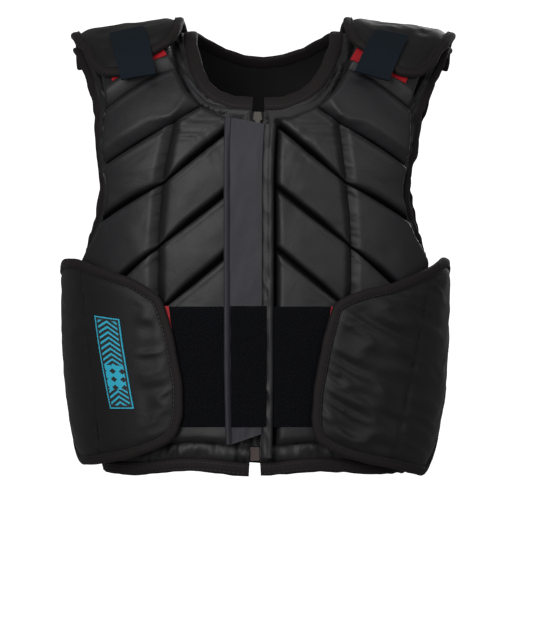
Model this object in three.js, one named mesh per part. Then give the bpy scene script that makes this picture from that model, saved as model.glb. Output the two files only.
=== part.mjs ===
// Padded body protector for riding: a zipped vest of foam pads quilted in chevrons.
// Millimetres, +Z up, the front faces -Y. The wearer's right is -X.
// The origin lies between the shoulders, level with the crown of the inner shoulder line.
import * as THREE from 'three';

// Body form: the inside of the vest, measured on the wearer
const CHEST_HEIGHT = 300;          // lower edge to the start of the shoulder arch
const SHOULDER_RISE = 164.4;       // from there to the crown of the shoulder line
const SHOULDER_FALL = 22.4;        // drop of the shoulder line at SHOULDER_HALF_WIDTH
const CHEST_HALF_WIDTH = 178;
const SHOULDER_HALF_WIDTH = 215;
const FRONT_DEPTH = 124;
const BACK_DEPTH = 122;
const SHOULDER_LEAN = 9;           // how far the shoulders lean to the wearer's left
const ROUNDNESS = 2.6;             // power of the rounded-square cross section

// Thicknesses
const PAD = 20;                    // foam and its cover
const SHOULDER_PAD = 11;           // the same where it passes over the shoulder
const CHANNEL = 8;                 // bottom of a sewn channel
const EDGE = 3;                    // flat margins
const GUSSET = 3;
const TAPE = 1;
const LOOP = 1.6;                  // loop patches
const PLACKET = 3;
const PLACKET_FOLD = 3.4;
const WAIST_FLAP = 6;
const SHOULDER_FLAP = 7;
const STRAP = 2.4;
const LABEL = 0.9;
const BINDING = 7;                 // neck, armholes and lower edge
const FLAP_BINDING_BULGE = 0.8;    // how far a flap's binding stands above its flap

// Widths
const CHANNEL_WIDTH = 14;          // lip to lip
const MARGIN = 15;                 // flat cloth between a binding and the pads
const ARM_MARGIN = 20;             // the same at the armholes and side seams
const RAMP = 6;                    // sloping side of a pad beside a margin
const NECK_BAND = 12;
const ARM_BAND = 8;
const HEM_BAND = 16;
const HEM_DROP = 4;                // how far the binding hangs below height zero
const HEM_LIFT = 5;                // the lower edge rises in a shallow arch below each pad
const FLAP_BAND = 6.5;
const ZIP_GAP = 12;                // between the two front panels
const TEETH_WIDTH = 5;
const TEETH = 3;                   // thickness of the closed chain
const PLACKET_REACH = 24;          // from the zip line to its bound edge
const PLACKET_HINGE = 6.5;         // from the zip line to its fold
const PLACKET_BAND = 6;
const FOLD_WIDTH = 12;

// Clearances
const GAP = 0.4;                   // between neighbours edge to edge
const LAY = 0.9;                   // under a curved piece that lies on another
const HEM_EASE = 0.4;              // more room above the hem binding, for its arches
const TURN_GAP = 0.8;              // beside a binding that follows a twisting edge
const SHOULDER_GAP = 1.6;          // beside the binding of a shoulder flap

// Angles round the body in degrees: 0 at the zip, 90 at the side
const SIDE_SEAM = 70;
const BACK_SEAM = 105;
const FLAP_SEAM = 112;             // where the waist flaps are sewn to the back

// Inside sections below the arch. level: share of CHEST_HEIGHT; the others: shares of
// CHEST_HALF_WIDTH, FRONT_DEPTH and BACK_DEPTH.
const SECTIONS = [
  { level: 0.0, width: 0.88, front: 0.9, back: 0.92 },
  { level: 0.127, width: 0.935, front: 0.92, back: 0.94 },
  { level: 0.26, width: 0.972, front: 0.94, back: 0.955 },
  { level: 0.45, width: 0.995, front: 0.965, back: 0.975 },
  { level: 0.7, width: 1.0, front: 0.99, back: 0.99 },
  { level: 1.0, width: 1.0, front: 1.0, back: 1.0 },
];

// A level is a place up the front: 0 lower edge, 1 start of the arch, 2 shoulder line.
// From 2 on it runs down the back.
// Edge of the front panel at the neck
const NECK_EDGE = [
  { level: 1.296, angle: 8.3 },
  { level: 1.338, angle: 14.7 },
  { level: 1.398, angle: 18.2 },
  { level: 1.496, angle: 20.9 },
  { level: 1.682, angle: 22.6 },
  { level: 2.0, angle: 22.0 },
];
const NECK_CORNER = 1.291;         // level of the same edge at the zip

// Outer edge of the front panel: side seam, then armhole
const FRONT_OUTER = [
  { level: 0.0, angle: SIDE_SEAM },
  { level: 0.75, angle: SIDE_SEAM },
  { level: 0.79, angle: 66 },
  { level: 0.85, angle: 59 },
  { level: 0.9, angle: 55.5 },
  { level: 0.95, angle: 53.7 },
  { level: 1.135, angle: 55.2 },
  { level: 1.318, angle: 52.9 },
  { level: 1.453, angle: 55.5 },
  { level: 1.614, angle: 59.2 },
  { level: 1.807, angle: 60.0 },
  { level: 2.0, angle: 60.0 },
];

// The sewn channel that runs up each front panel, and above it the middle of the pad
const UPRIGHT = [
  { level: 0.0, angle: 30 },
  { level: 0.8, angle: 30 },
  { level: 0.99, angle: 28.7 },
  { level: 1.117, angle: 26.5 },
  { level: 1.22, angle: 24.7 },
  { level: 1.27, angle: 24.9 },
  { level: 1.42, angle: 30 },
  { level: 1.6, angle: 37 },
  { level: 2.0, angle: 40 },
];
const UPRIGHT_TOP = 1.235;         // level where the channel meets the chevron above it

// Chevron channels of a front panel, as levels at the inner edge, the upright and the
// outer edge
const CHEVRONS = [
  { inner: 0.802, upright: 0.55, outer: 0.33 },
  { inner: 1.013, upright: 0.768, outer: 0.41 },
  { inner: 1.242, upright: 0.985, outer: 0.745 },
  { inner: 1.325, upright: 1.22, outer: 1.025 },
  { inner: 1.49, upright: 1.44, outer: 1.25 },
];

// Back panel. Angles count from the middle of the back.
const BACK_OUTER = [
  { level: 0.0, angle: 180 - BACK_SEAM },
  { level: 0.78, angle: 180 - BACK_SEAM },
  { level: 0.86, angle: 67.5 },
  { level: 1.0, angle: 60 },
  { level: 1.22, angle: 57 },
  { level: 1.5, angle: 58 },
  { level: 1.75, angle: 60 },
  { level: 2.0, angle: 60 },
];
const BACK_NECK = [
  { across: 0.0, angle: 0, level: 1.62 },
  { across: 0.16, angle: 7, level: 1.64 },
  { across: 0.3, angle: 14, level: 1.71 },
  { across: 0.42, angle: 19.5, level: 1.84 },
  { across: 0.5, angle: 22, level: 2.0 },
  { across: 1.0, angle: 60, level: 2.0 },
];
const BACK_CHEVRONS = [
  { inner: 0.56, outer: 0.36 },
  { inner: 0.83, outer: 0.6 },
  { inner: 1.1, outer: 0.87 },
  { inner: 1.37, outer: 1.16 },
];

// Top edge of the side gusset
const GUSSET_TOP = [
  { angle: SIDE_SEAM, level: 0.75 },
  { angle: 78, level: 0.735 },
  { angle: 90, level: 0.735 },
  { angle: BACK_SEAM, level: 0.78 },
];

// Waist flaps, from the free front edge (0) to the seam on the back (1)
const WAIST_FLAPS = {
  right: [
    { across: 0.0, bottom: 0.152, top: 0.583 },
    { across: 0.035, bottom: 0.125, top: 0.612 },
    { across: 0.1, bottom: 0.1, top: 0.648 },
    { across: 0.2, bottom: 0.078, top: 0.675 },
    { across: 0.36, bottom: 0.06, top: 0.714 },
    { across: 0.5, bottom: 0.056, top: 0.715 },
    { across: 0.62, bottom: 0.085, top: 0.7 },
    { across: 0.75, bottom: 0.13, top: 0.69 },
    { across: 0.88, bottom: 0.165, top: 0.68 },
    { across: 1.0, bottom: 0.18, top: 0.675 },
  ],
  left: [
    { across: 0.0, bottom: 0.135, top: 0.563 },
    { across: 0.035, bottom: 0.108, top: 0.587 },
    { across: 0.1, bottom: 0.082, top: 0.608 },
    { across: 0.2, bottom: 0.06, top: 0.63 },
    { across: 0.36, bottom: 0.034, top: 0.682 },
    { across: 0.5, bottom: 0.018, top: 0.722 },
    { across: 0.62, bottom: 0.08, top: 0.715 },
    { across: 0.75, bottom: 0.15, top: 0.69 },
    { across: 0.88, bottom: 0.18, top: 0.68 },
    { across: 1.0, bottom: 0.19, top: 0.675 },
  ],
};
// Their free front edge, from its lower (0) to its upper end (1)
const FLAP_FRONTS = {
  right: [
    { up: 0.0, angle: 26.5 },
    { up: 0.12, angle: 24.8 },
    { up: 0.35, angle: 24.2 },
    { up: 0.75, angle: 26.5 },
    { up: 1.0, angle: 29.5 },
  ],
  left: [
    { up: 0.0, angle: 21.5 },
    { up: 0.12, angle: 20.2 },
    { up: 0.35, angle: 20.3 },
    { up: 0.75, angle: 22.8 },
    { up: 1.0, angle: 25.2 },
  ],
};

// Shoulder flap: lower edge across the front, from the neck side (0) to the arm side (1),
// and its two long edges from front (0) to back (1)
const SHOULDER_FLAP_FRONT = [
  { across: 0.0, level: 1.6 },
  { across: 0.12, level: 1.565 },
  { across: 0.3, level: 1.52 },
  { across: 0.5, level: 1.46 },
  { across: 0.7, level: 1.475 },
  { across: 0.87, level: 1.55 },
  { across: 1.0, level: 1.68 },
];
const SHOULDER_FLAP_BACK = 2.36;
const SHOULDER_FLAP_SIDES = [
  { up: 0.0, neck: 27.0, arm: 53.0 },
  { up: 0.1, neck: 25.2, arm: 56.0 },
  { up: 0.3, neck: 24.3, arm: 58.8 },
  { up: 0.55, neck: 24.0, arm: 59.6 },
  { up: 1.0, neck: 24.0, arm: 59.0 },
];

// Four-cornered pieces that lie on others: angle and level at each corner, seen from
// outside with the arm on the right
const SHOULDER_STRAPS = {
  right: { low: [29.3, 39.2], lowLevel: [1.4, 1.394], high: [33.5, 44.4], highLevel: [1.715, 1.7] },
  left: { low: [26.5, 36.2], lowLevel: [1.41, 1.388], high: [31.4, 41.5], highLevel: [1.67, 1.662] },
};
const SHOULDER_TAPES = {
  right: { low: [27.2, 43.6], lowLevel: [1.53, 1.425], high: [29.5, 44.0], highLevel: [1.62, 1.53] },
  left: { low: [25.4, 42.6], lowLevel: [1.5, 1.418], high: [28.0, 44.0], highLevel: [1.62, 1.52] },
};

const FULL_TURN = 360;

// Angle that the hem's arch spans from the zip
const HEM_ARCH = 45;

// Levels of the panels' rows away from the chevrons; the back's upright seam is a share of its half width
const LOWEST_PAD_ROW = 0.2;
const SHOULDER_ROWS = [1.66, 1.77, 1.88];
const BACK_TOP_ROWS = [0.22, 0.44, 0.65, 0.8];
const BACK_NECK_MARGIN = 0.9;
const BACK_UPRIGHT = 0.42;

const LOOP_PATCHES = {
  right: { outer: 33, bottom: 0.163, top: 0.57 },
  left: { outer: 30, bottom: 0.163, top: 0.57 },
};
const RED_TAPES = {
  right: { low: [24.6, 29], lowLevel: [0.42, 0.42], high: [26.2, 31], highLevel: [0.572, 0.572] },
  left: { low: [22.6, 27], lowLevel: [0.5, 0.5], high: [23.4, 28], highLevel: [0.57, 0.57] },
};
const LABEL_PATCH = {
  low: [37.0, 44.9],
  lowLevel: [0.229, 0.229],
  high: [40.3, 49.0],
  highLevel: [0.528, 0.54],
};

// Placket, from its lower to its upper end, as levels at the bound edge and at the fold
const PLACKET_BOTTOM = { bound: 0.105, fold: 0.14 };
const PLACKET_TOP = { bound: 1.222, fold: 1.198 };
const FOLD_BOTTOM = 0.06;
const LOOP_ON_PLACKET = { bottom: 0.165, top: 0.572, overFold: 5 };

// Zip
const ZIP_BOTTOM = 0.09;
const ZIP_TOP = 1.275;
const SLIDER = { width: 9, height: 10, thickness: 4, corner: 2, pullWidth: 5, pull: 16, seat: 1 };
const BOTTOM_BOX = { width: 9.6, height: 14, thickness: 4.4, corner: 1 };

// Shares of the pad thickness from a margin to its lip
const MARGIN_PUFF = 0.12;
const HEM_PUFF_LEVELS = { puff: 0.085, pad: 0.12 };
const HEM_PUFF = 0.4;
const PAD_FADE = { start: 1.46, end: 1.95 };

const DEG = Math.PI / 180;
const ARCH = (Math.PI / 2) * Math.sqrt((FRONT_DEPTH ** 2 + SHOULDER_RISE ** 2) / 2);
const REACH = CHEST_HEIGHT + ARCH;
const CROWN = CHEST_HEIGHT + SHOULDER_RISE;
const STEP = 0.05;

const mix = (a, b, t) => a + (b - a) * t;
const clamp = (value, low, high) => Math.min(Math.max(value, low), high);
const ease = (t) => t * t * (3 - 2 * t);

// Value of a table's column, on straight lines between its rows
function lookUp(table, key, column, at) {
  let row = 1;
  while (row < table.length - 1 && table[row][key] < at) row += 1;
  const [from, to] = [table[row - 1], table[row]];
  const share = clamp((at - from[key]) / (to[key] - from[key]), 0, 1);
  return mix(from[column], to[column], share);
}

// Height along the surface, in millimetres, of a level
function heightAt(level) {
  if (level <= 1) return level * CHEST_HEIGHT;
  return CHEST_HEIGHT + (level - 1) * ARCH;
}

function levelAt(height) {
  if (height <= CHEST_HEIGHT) return height / CHEST_HEIGHT;
  return 1 + (height - CHEST_HEIGHT) / ARCH;
}

// The same height on the back, counted on over the shoulder line
const overBack = (height) => 2 * REACH - height;

// A point on the inside of the vest. Sections are rounded squares; above the chest the
// front and back lean together in an elliptic arch that closes on the shoulder line.
function bodyPoint(angle, height) {
  const over = height > REACH;
  const run = over ? 2 * REACH - height : height;
  const sine = Math.sin(angle * DEG);
  const cosine = Math.cos(angle * DEG);
  const radius = (Math.abs(sine) ** ROUNDNESS + Math.abs(cosine) ** ROUNDNESS) ** (-1 / ROUNDNESS);
  const forward = (over ? -1 : 1) * radius * cosine;
  const level = run / CHEST_HEIGHT;
  const arch = clamp((run - CHEST_HEIGHT) / ARCH, 0, 1);
  const rise = Math.sin((arch * Math.PI) / 2);
  const close = Math.cos((arch * Math.PI) / 2);
  const width = CHEST_HALF_WIDTH * lookUp(SECTIONS, 'level', 'width', level);
  const halfWidth = mix(width, SHOULDER_HALF_WIDTH, arch);
  const depth = forward > 0
    ? FRONT_DEPTH * lookUp(SECTIONS, 'level', 'front', level)
    : BACK_DEPTH * lookUp(SECTIONS, 'level', 'back', level);
  const x = halfWidth * radius * sine;
  const shoulderLine = CROWN - SHOULDER_FALL * (x / SHOULDER_HALF_WIDTH) ** 2;
  const z = run <= CHEST_HEIGHT ? run : mix(CHEST_HEIGHT, shoulderLine, rise);
  const lean = ease(clamp((z - CHEST_HEIGHT) / SHOULDER_RISE, 0, 1));
  return new THREE.Vector3(x + SHOULDER_LEAN * lean, -depth * close * forward, z - CROWN);
}

function bodyNormal(angle, height) {
  const around = bodyPoint(angle + STEP, height).sub(bodyPoint(angle - STEP, height));
  const upward = bodyPoint(angle, height + STEP).sub(bodyPoint(angle, height - STEP));
  return around.cross(upward).normalize();
}

// A point at a distance outside the inner surface
function offBody(angle, height, distance) {
  return bodyPoint(angle, height).addScaledVector(bodyNormal(angle, height), distance);
}

// Angle of a place that lies a sideways distance from the zip line
function angleAt(sideways) {
  const share = Math.abs(sideways) / CHEST_HALF_WIDTH;
  const across = Math.atan2(share, (1 - share ** ROUNDNESS) ** (1 / ROUNDNESS)) / DEG;
  return Math.sign(sideways) * across;
}

// Millimetres along the surface between two places
function distance(from, to) {
  const pieces = 6;
  let length = 0;
  let last = bodyPoint(from.angle, from.height);
  for (let i = 1; i <= pieces; i += 1) {
    const share = i / pieces;
    const next = bodyPoint(mix(from.angle, to.angle, share), mix(from.height, to.height, share));
    length += next.distanceTo(last);
    last = next;
  }
  return length;
}

// A closed mesh from points and faces, turned so that its faces point out
function closedGeometry(points, faces) {
  let volume = 0;
  for (const [a, b, c] of faces) {
    volume += points[a].dot(new THREE.Vector3().crossVectors(points[b], points[c]));
  }
  const outward = volume > 0 ? faces : faces.map(([a, b, c]) => [a, c, b]);
  const geometry = new THREE.BufferGeometry().setFromPoints(points);
  geometry.setIndex(outward.flat());
  geometry.computeVertexNormals();
  return geometry;
}

// A wall over a grid of places: outer face, inner face and the rim between them.
// Each place holds angle, height, inner and outer.
function shell(grid) {
  const rows = grid.length;
  const columns = grid[0].length;
  const points = [];
  for (const face of ['outer', 'inner']) {
    for (const place of grid.flat()) points.push(offBody(place.angle, place.height, place[face]));
  }
  const faces = [];
  const quad = (a, b, c, d) => faces.push([a, b, c], [a, c, d]);
  const inside = rows * columns;
  for (let r = 0; r < rows - 1; r += 1) {
    for (let c = 0; c < columns - 1; c += 1) {
      const corner = r * columns + c;
      const above = corner + columns;
      quad(corner, corner + 1, above + 1, above);
      quad(inside + corner, inside + above, inside + above + 1, inside + corner + 1);
    }
  }
  const rim = [];
  for (let c = 0; c < columns - 1; c += 1) rim.push(c);
  for (let r = 0; r < rows - 1; r += 1) rim.push(r * columns + columns - 1);
  for (let c = columns - 1; c > 0; c -= 1) rim.push((rows - 1) * columns + c);
  for (let r = rows - 1; r > 0; r -= 1) rim.push(r * columns);
  rim.forEach((from, i) => {
    const to = rim[(i + 1) % rim.length];
    quad(from, inside + from, inside + to, to);
  });
  return closedGeometry(points, faces);
}

// A folded strip along an edge. Each place of the path holds angle, height and lift.
// The section lies beside the edge, on the left of the way along when turn is -1.
function strip(path, { width, thickness, bulge = 0, turn = 1, closed = false, gap = GAP }) {
  const spine = path.map((place) => offBody(place.angle, place.height, place.lift));
  const half = thickness / 2;
  const section = [
    [gap, -half],
    [gap, half],
    [gap + width * 0.35, half + bulge],
    [gap + width * 0.85, half * 0.75 + bulge],
    [gap + width, 0],
    [gap + width * 0.8, -half],
  ];
  const points = [];
  spine.forEach((point, i) => {
    const before = closed ? spine.at(i - 1) : spine[Math.max(i - 1, 0)];
    const after = closed ? spine[(i + 1) % spine.length] : spine[Math.min(i + 1, spine.length - 1)];
    const normal = bodyNormal(path[i].angle, path[i].height);
    const beside = after.clone().sub(before).cross(normal).normalize().multiplyScalar(turn);
    for (const [across, out] of section) {
      points.push(point.clone().addScaledVector(beside, across).addScaledVector(normal, out));
    }
  });
  const faces = [];
  const sides = section.length;
  const spans = closed ? spine.length : spine.length - 1;
  for (let i = 0; i < spans; i += 1) {
    const here = i * sides;
    const next = ((i + 1) % spine.length) * sides;
    for (let s = 0; s < sides; s += 1) {
      const beyond = (s + 1) % sides;
      faces.push([here + s, here + beyond, next + beyond], [here + s, next + beyond, next + s]);
    }
  }
  if (!closed) {
    const end = (spine.length - 1) * sides;
    for (let s = 1; s < sides - 1; s += 1) {
      faces.push([0, s + 1, s], [end, end + s, end + s + 1]);
    }
  }
  return closedGeometry(points, faces);
}

// Lower edge of the cloth above the hem binding
function hemEdge(angle) {
  const side = Math.abs(angle) % FULL_TURN;
  const fromZip = Math.min(side, FULL_TURN - side);
  const arch = fromZip < HEM_ARCH ? Math.sin((fromZip / HEM_ARCH) * Math.PI) ** 2 : 0;
  return HEM_BAND - HEM_DROP + GAP + HEM_LIFT * arch;
}

function padThickness(level) {
  const fromFront = level > 2 ? 4 - level : level;
  const fade = clamp((fromFront - PAD_FADE.start) / (PAD_FADE.end - PAD_FADE.start), 0, 1);
  return mix(PAD, SHOULDER_PAD, ease(fade));
}

// Rows of a quilted panel: for each channel its two lips and its bottom. From channel
// bentFrom on, one more row lies below each channel. The columns named in keys are levels.
function quiltRows(chevrons, keys, half, bentFrom = 1) {
  const rows = [];
  chevrons.forEach((channel, i) => {
    const lip = (by) => Object.fromEntries(keys.map((key) => [key, heightAt(channel[key]) + by]));
    const lower = { ...lip(-half), fill: 1 };
    if (i >= bentFrom) {
      const last = rows.at(-1);
      const between = Object.fromEntries(keys.map((key) => [key, mix(last[key], lower[key], 0.5)]));
      rows.push({ ...between, fill: 1 });
    }
    rows.push(lower, { ...lip(0), fill: 0, channel: true }, { ...lip(half), fill: 1 });
  });
  return rows;
}

// Thickness of a quilted panel: share 0 is the flat margin, 1 the full pad
function quiltThickness(level, share, channel) {
  const full = padThickness(level);
  const flat = mix(EDGE, full, share);
  return channel ? Math.min(flat, CHANNEL) : flat;
}

function straightRow(level) {
  const height = heightAt(level);
  return { inner: height, upright: height, outer: height };
}

// Front panel as a grid of rows from hem to shoulder and columns from zip to arm
function frontGrid(hand) {
  const zipEdge = angleAt(ZIP_GAP / 2);
  const half = CHANNEL_WIDTH / 2;
  const quilt = quiltRows(CHEVRONS, ['inner', 'upright', 'outer'], half);
  const corner = {
    inner: heightAt(NECK_CORNER),
    upright: heightAt(mix(CHEVRONS[2].upright, CHEVRONS[3].upright, 0.45)),
    outer: heightAt(mix(CHEVRONS[2].outer, CHEVRONS[3].outer, 0.45)),
  };
  const underNeck = {
    inner: heightAt(NECK_EDGE[0].level),
    upright: heightAt(mix(CHEVRONS[2].upright, CHEVRONS[3].upright, 0.7)),
    outer: heightAt(mix(CHEVRONS[2].outer, CHEVRONS[3].outer, 0.7)),
  };
  const neckBend = heightAt(NECK_EDGE[1].level);
  const lastOfThird = 10;
  const rows = [
    { hem: true, fill: 0 },
    { ...straightRow(HEM_PUFF_LEVELS.puff), fill: HEM_PUFF },
    { ...straightRow(HEM_PUFF_LEVELS.pad), fill: 1 },
    { ...straightRow(LOWEST_PAD_ROW), fill: 1 },
    ...quilt.slice(0, lastOfThird + 1),
    { ...corner, fill: 1 },
    { ...underNeck, onNeck: true, fill: 1 },
    ...quilt.slice(lastOfThird + 2),
    ...SHOULDER_ROWS.map((level) => ({ ...straightRow(level), fill: 1 })),
    { ...straightRow(2), top: true, fill: 1 },
  ];
  const cornerRow = rows.findIndex((row) => row.onNeck);
  return rows.map((row, r) => {
    const onNeck = r >= cornerRow;
    const innerHeight = row.hem ? hemEdge(zipEdge) : row.inner - (row.top ? GAP / 2 : 0);
    const inner = {
      angle: onNeck ? lookUp(NECK_EDGE, 'level', 'angle', levelAt(innerHeight)) : zipEdge,
      height: onNeck ? innerHeight : Math.min(innerHeight, neckBend),
    };
    const uprightHeight = row.hem ? hemEdge(UPRIGHT[0].angle) : row.upright - (row.top ? GAP / 2 : 0);
    const middle = {
      angle: lookUp(UPRIGHT, 'level', 'angle', levelAt(uprightHeight)),
      height: uprightHeight,
    };
    const outerHeight = row.hem ? hemEdge(SIDE_SEAM) : row.outer - (row.top ? GAP / 2 : 0);
    const outer = {
      angle: lookUp(FRONT_OUTER, 'level', 'angle', levelAt(outerHeight)),
      height: outerHeight,
    };
    const seamed = levelAt(uprightHeight) < UPRIGHT_TOP;
    const toMiddle = distance(inner, middle);
    const toOuter = distance(middle, outer);
    const margin = Math.min(MARGIN / toMiddle, 0.36);
    const padStart = Math.min((MARGIN + RAMP) / toMiddle, 0.6);
    const lip = Math.min(half / toMiddle, 0.25);
    const outerLip = Math.min(half / toOuter, 0.25);
    const outerMargin = 1 - Math.min(ARM_MARGIN / toOuter, 0.42);
    const outerPad = 1 - Math.min((ARM_MARGIN + RAMP) / toOuter, 0.56);
    const columns = [
      { part: 0, share: 0, fill: 0 },
      { part: 0, share: margin, fill: MARGIN_PUFF },
      { part: 0, share: padStart, fill: 1 },
      { part: 0, share: mix(padStart, 1 - lip, 0.5), fill: 1 },
      { part: 0, share: 1 - lip, fill: 1 },
      { part: 1, share: 0, fill: 1, seam: true },
      { part: 1, share: outerLip, fill: 1 },
      { part: 1, share: mix(outerLip, outerPad, 0.5), fill: 1 },
      { part: 1, share: outerPad, fill: 1 },
      { part: 1, share: outerMargin, fill: MARGIN_PUFF },
      { part: 1, share: 1, fill: 0 },
    ];
    return columns.map((column) => {
      const [from, to] = column.part === 0 ? [inner, middle] : [middle, outer];
      const angle = mix(from.angle, to.angle, column.share);
      const hem = row.hem ? hemEdge(angle) : mix(from.height, to.height, column.share);
      const rowFill = row.channel ? 1 : row.fill;
      const isChannel = (row.channel || (column.seam && seamed && rowFill > HEM_PUFF));
      const share = Math.min(column.fill, rowFill);
      const outerFace = quiltThickness(levelAt(hem), share, isChannel && column.fill > MARGIN_PUFF);
      return { angle: hand * angle, height: hem, inner: 0, outer: outerFace };
    });
  });
}

// Back panel as a grid from hem to shoulders and from one side seam to the other
function backGrid() {
  const half = CHANNEL_WIDTH / 2;
  const quilt = quiltRows(BACK_CHEVRONS, ['inner', 'outer'], half, 3);
  const rows = [
    { hem: true, fill: 0 },
    { inner: heightAt(HEM_PUFF_LEVELS.puff), outer: heightAt(HEM_PUFF_LEVELS.puff), fill: HEM_PUFF },
    { inner: heightAt(HEM_PUFF_LEVELS.pad), outer: heightAt(HEM_PUFF_LEVELS.pad), fill: 1 },
    ...quilt,
    ...BACK_TOP_ROWS.map((toNeck) => ({ toNeck, fill: 1 })),
    { toNeck: BACK_NECK_MARGIN, fill: MARGIN_PUFF },
    { toNeck: 1, fill: 0 },
  ];
  const last = quilt.at(-1);
  const backMiddle = { angle: 0, height: CHEST_HEIGHT };
  const width = distance(backMiddle, { angle: BACK_OUTER[0].angle, height: CHEST_HEIGHT });
  const lip = half / width;
  const margin = ARM_MARGIN / width;
  const ramp = RAMP / width;
  const halfColumns = [
    { across: 0, fill: 1, seam: true },
    { across: lip, fill: 1 },
    { across: BACK_UPRIGHT / 2, fill: 1 },
    { across: BACK_UPRIGHT - lip, fill: 1 },
    { across: BACK_UPRIGHT, fill: 1, seam: true },
    { across: BACK_UPRIGHT + lip, fill: 1 },
    { across: mix(BACK_UPRIGHT + lip, 1 - margin - ramp, 0.5), fill: 1 },
    { across: 1 - margin - ramp, fill: 1 },
    { across: 1 - margin, fill: MARGIN_PUFF },
    { across: 1, fill: 0 },
  ];
  const columns = [
    ...halfColumns.slice(1).reverse().map((column) => ({ ...column, across: -column.across })),
    ...halfColumns,
  ];
  return rows.map((row) => columns.map((column) => {
    const across = Math.abs(column.across);
    const flatRow = (inner, outer) => {
      const height = mix(inner, outer, across);
      return { angle: across * lookUp(BACK_OUTER, 'level', 'angle', levelAt(outer)), height };
    };
    let place;
    if (row.hem) {
      place = { angle: across * BACK_OUTER[0].angle, height: hemEdge(180) };
    } else if (row.toNeck) {
      const below = flatRow(last.inner, last.outer);
      const neck = {
        angle: lookUp(BACK_NECK, 'across', 'angle', across),
        height: heightAt(lookUp(BACK_NECK, 'across', 'level', across)) - GAP / 2,
      };
      place = {
        angle: mix(below.angle, neck.angle, row.toNeck),
        height: mix(below.height, neck.height, row.toNeck),
      };
    } else {
      place = flatRow(row.inner, row.outer);
    }
    const overShoulder = row.toNeck && across > 0.5;
    const rowFill = row.channel || overShoulder ? 1 : row.fill;
    const seamed = column.seam && (!row.toNeck || (across === 0 && row.toNeck < 0.85));
    const isChannel = row.channel || (seamed && rowFill > HEM_PUFF);
    const share = Math.min(column.fill, rowFill);
    const outerFace = quiltThickness(levelAt(place.height), share, isChannel && column.fill > MARGIN_PUFF);
    const angle = Math.sign(column.across) * place.angle;
    return { angle, height: overBack(place.height), inner: 0, outer: outerFace };
  }));
}

function gussetGrid(hand) {
  const seamGap = angleAt(GAP / 2);
  const columns = [0, 0.2, 0.4, 0.6, 0.8, 1];
  const rows = [0, 0.15, 0.4, 0.7, 1];
  return rows.map((up) => columns.map((across) => {
    const angle = mix(SIDE_SEAM + seamGap * 2, BACK_SEAM - seamGap * 2, across);
    const top = heightAt(lookUp(GUSSET_TOP, 'angle', 'level', angle));
    return { angle: hand * angle, height: mix(hemEdge(angle), top, up), inner: 0, outer: GUSSET };
  }));
}

// Outside of the pads and of what is sewn on them, under the waist flaps
const FLAP_SEAT = PAD + GAP + LOOP + GAP + TAPE + GAP;

function waistFlapGrid(side, hand) {
  const outline = WAIST_FLAPS[side];
  const ups = [0, 0.1, 0.25, 0.5, 0.75, 0.9, 1];
  const between = [0, 0.5];
  const columns = outline.slice(1).flatMap((row, i) => {
    const from = outline[i];
    return between.map((t) => mix(from.across, row.across, t));
  });
  columns.push(1);
  return ups.map((up) => columns.map((across) => {
    const front = lookUp(FLAP_FRONTS[side], 'up', 'angle', up);
    const bottom = heightAt(lookUp(outline, 'across', 'bottom', across));
    const top = heightAt(lookUp(outline, 'across', 'top', across));
    const angle = mix(front, FLAP_SEAM, across);
    const height = mix(bottom, top, up);
    return { angle: hand * angle, height, inner: FLAP_SEAT, outer: FLAP_SEAT + WAIST_FLAP };
  }));
}

function shoulderSeat(height) {
  return padThickness(levelAt(height)) + GAP + TAPE + LAY;
}

function shoulderFlapGrid(hand) {
  const ups = [0, 0.08, 0.18, 0.3, 0.4, 0.49, 0.58, 0.68, 0.84, 1];
  const columns = [0, 0.06, 0.16, 0.3, 0.4, 0.5, 0.6, 0.7, 0.82, 0.93, 1];
  return ups.map((up) => columns.map((across) => {
    const front = lookUp(SHOULDER_FLAP_FRONT, 'across', 'level', across);
    const neck = lookUp(SHOULDER_FLAP_SIDES, 'up', 'neck', up);
    const arm = lookUp(SHOULDER_FLAP_SIDES, 'up', 'arm', up);
    const height = heightAt(mix(front, SHOULDER_FLAP_BACK, up));
    const sewnDown = padThickness(levelAt(height));
    const inner = up < 1 ? shoulderSeat(height) : sewnDown;
    return { angle: hand * mix(neck, arm, across), height, inner, outer: inner + SHOULDER_FLAP };
  }));
}

// A four-cornered piece that lies at a distance given by seat(height)
function patchGrid({ low, lowLevel, high, highLevel }, hand, seat, thickness, columns, rows) {
  const grid = [];
  for (let r = 0; r <= rows; r += 1) {
    const up = r / rows;
    const line = [];
    for (let c = 0; c <= columns; c += 1) {
      const across = c / columns;
      const angle = mix(mix(low[0], low[1], across), mix(high[0], high[1], across), up);
      const share = mix(mix(lowLevel[0], lowLevel[1], across), mix(highLevel[0], highLevel[1], across), up);
      const height = heightAt(share);
      line.push({ angle: hand * angle, height, inner: seat(height), outer: seat(height) + thickness });
    }
    grid.push(line);
  }
  return grid;
}

// A level strip of cloth beside the zip line, between two sideways distances
function zipStrip(from, to, bottom, top, inner, outer, rows, columns = 1) {
  const grid = [];
  for (let r = 0; r <= rows; r += 1) {
    const line = [];
    for (let c = 0; c <= columns; c += 1) {
      const sideways = mix(from, to, c / columns);
      const end = (limits) => mix(limits.from, limits.to, c / columns);
      const height = mix(heightAt(end(bottom)), heightAt(end(top)), r / rows);
      line.push({ angle: angleAt(sideways), height, inner, outer });
    }
    grid.push(line);
  }
  return grid;
}
const straight = (share) => ({ from: share, to: share });

const edgePath = (places, lift) => places.map(({ angle, height }) => ({ angle, height, lift }));

// A flat shape made a plate of a given thickness
function plate(shape, thickness) {
  const options = { depth: thickness, bevelEnabled: false, curveSegments: 3 };
  return new THREE.ExtrudeGeometry(shape, options);
}

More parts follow.
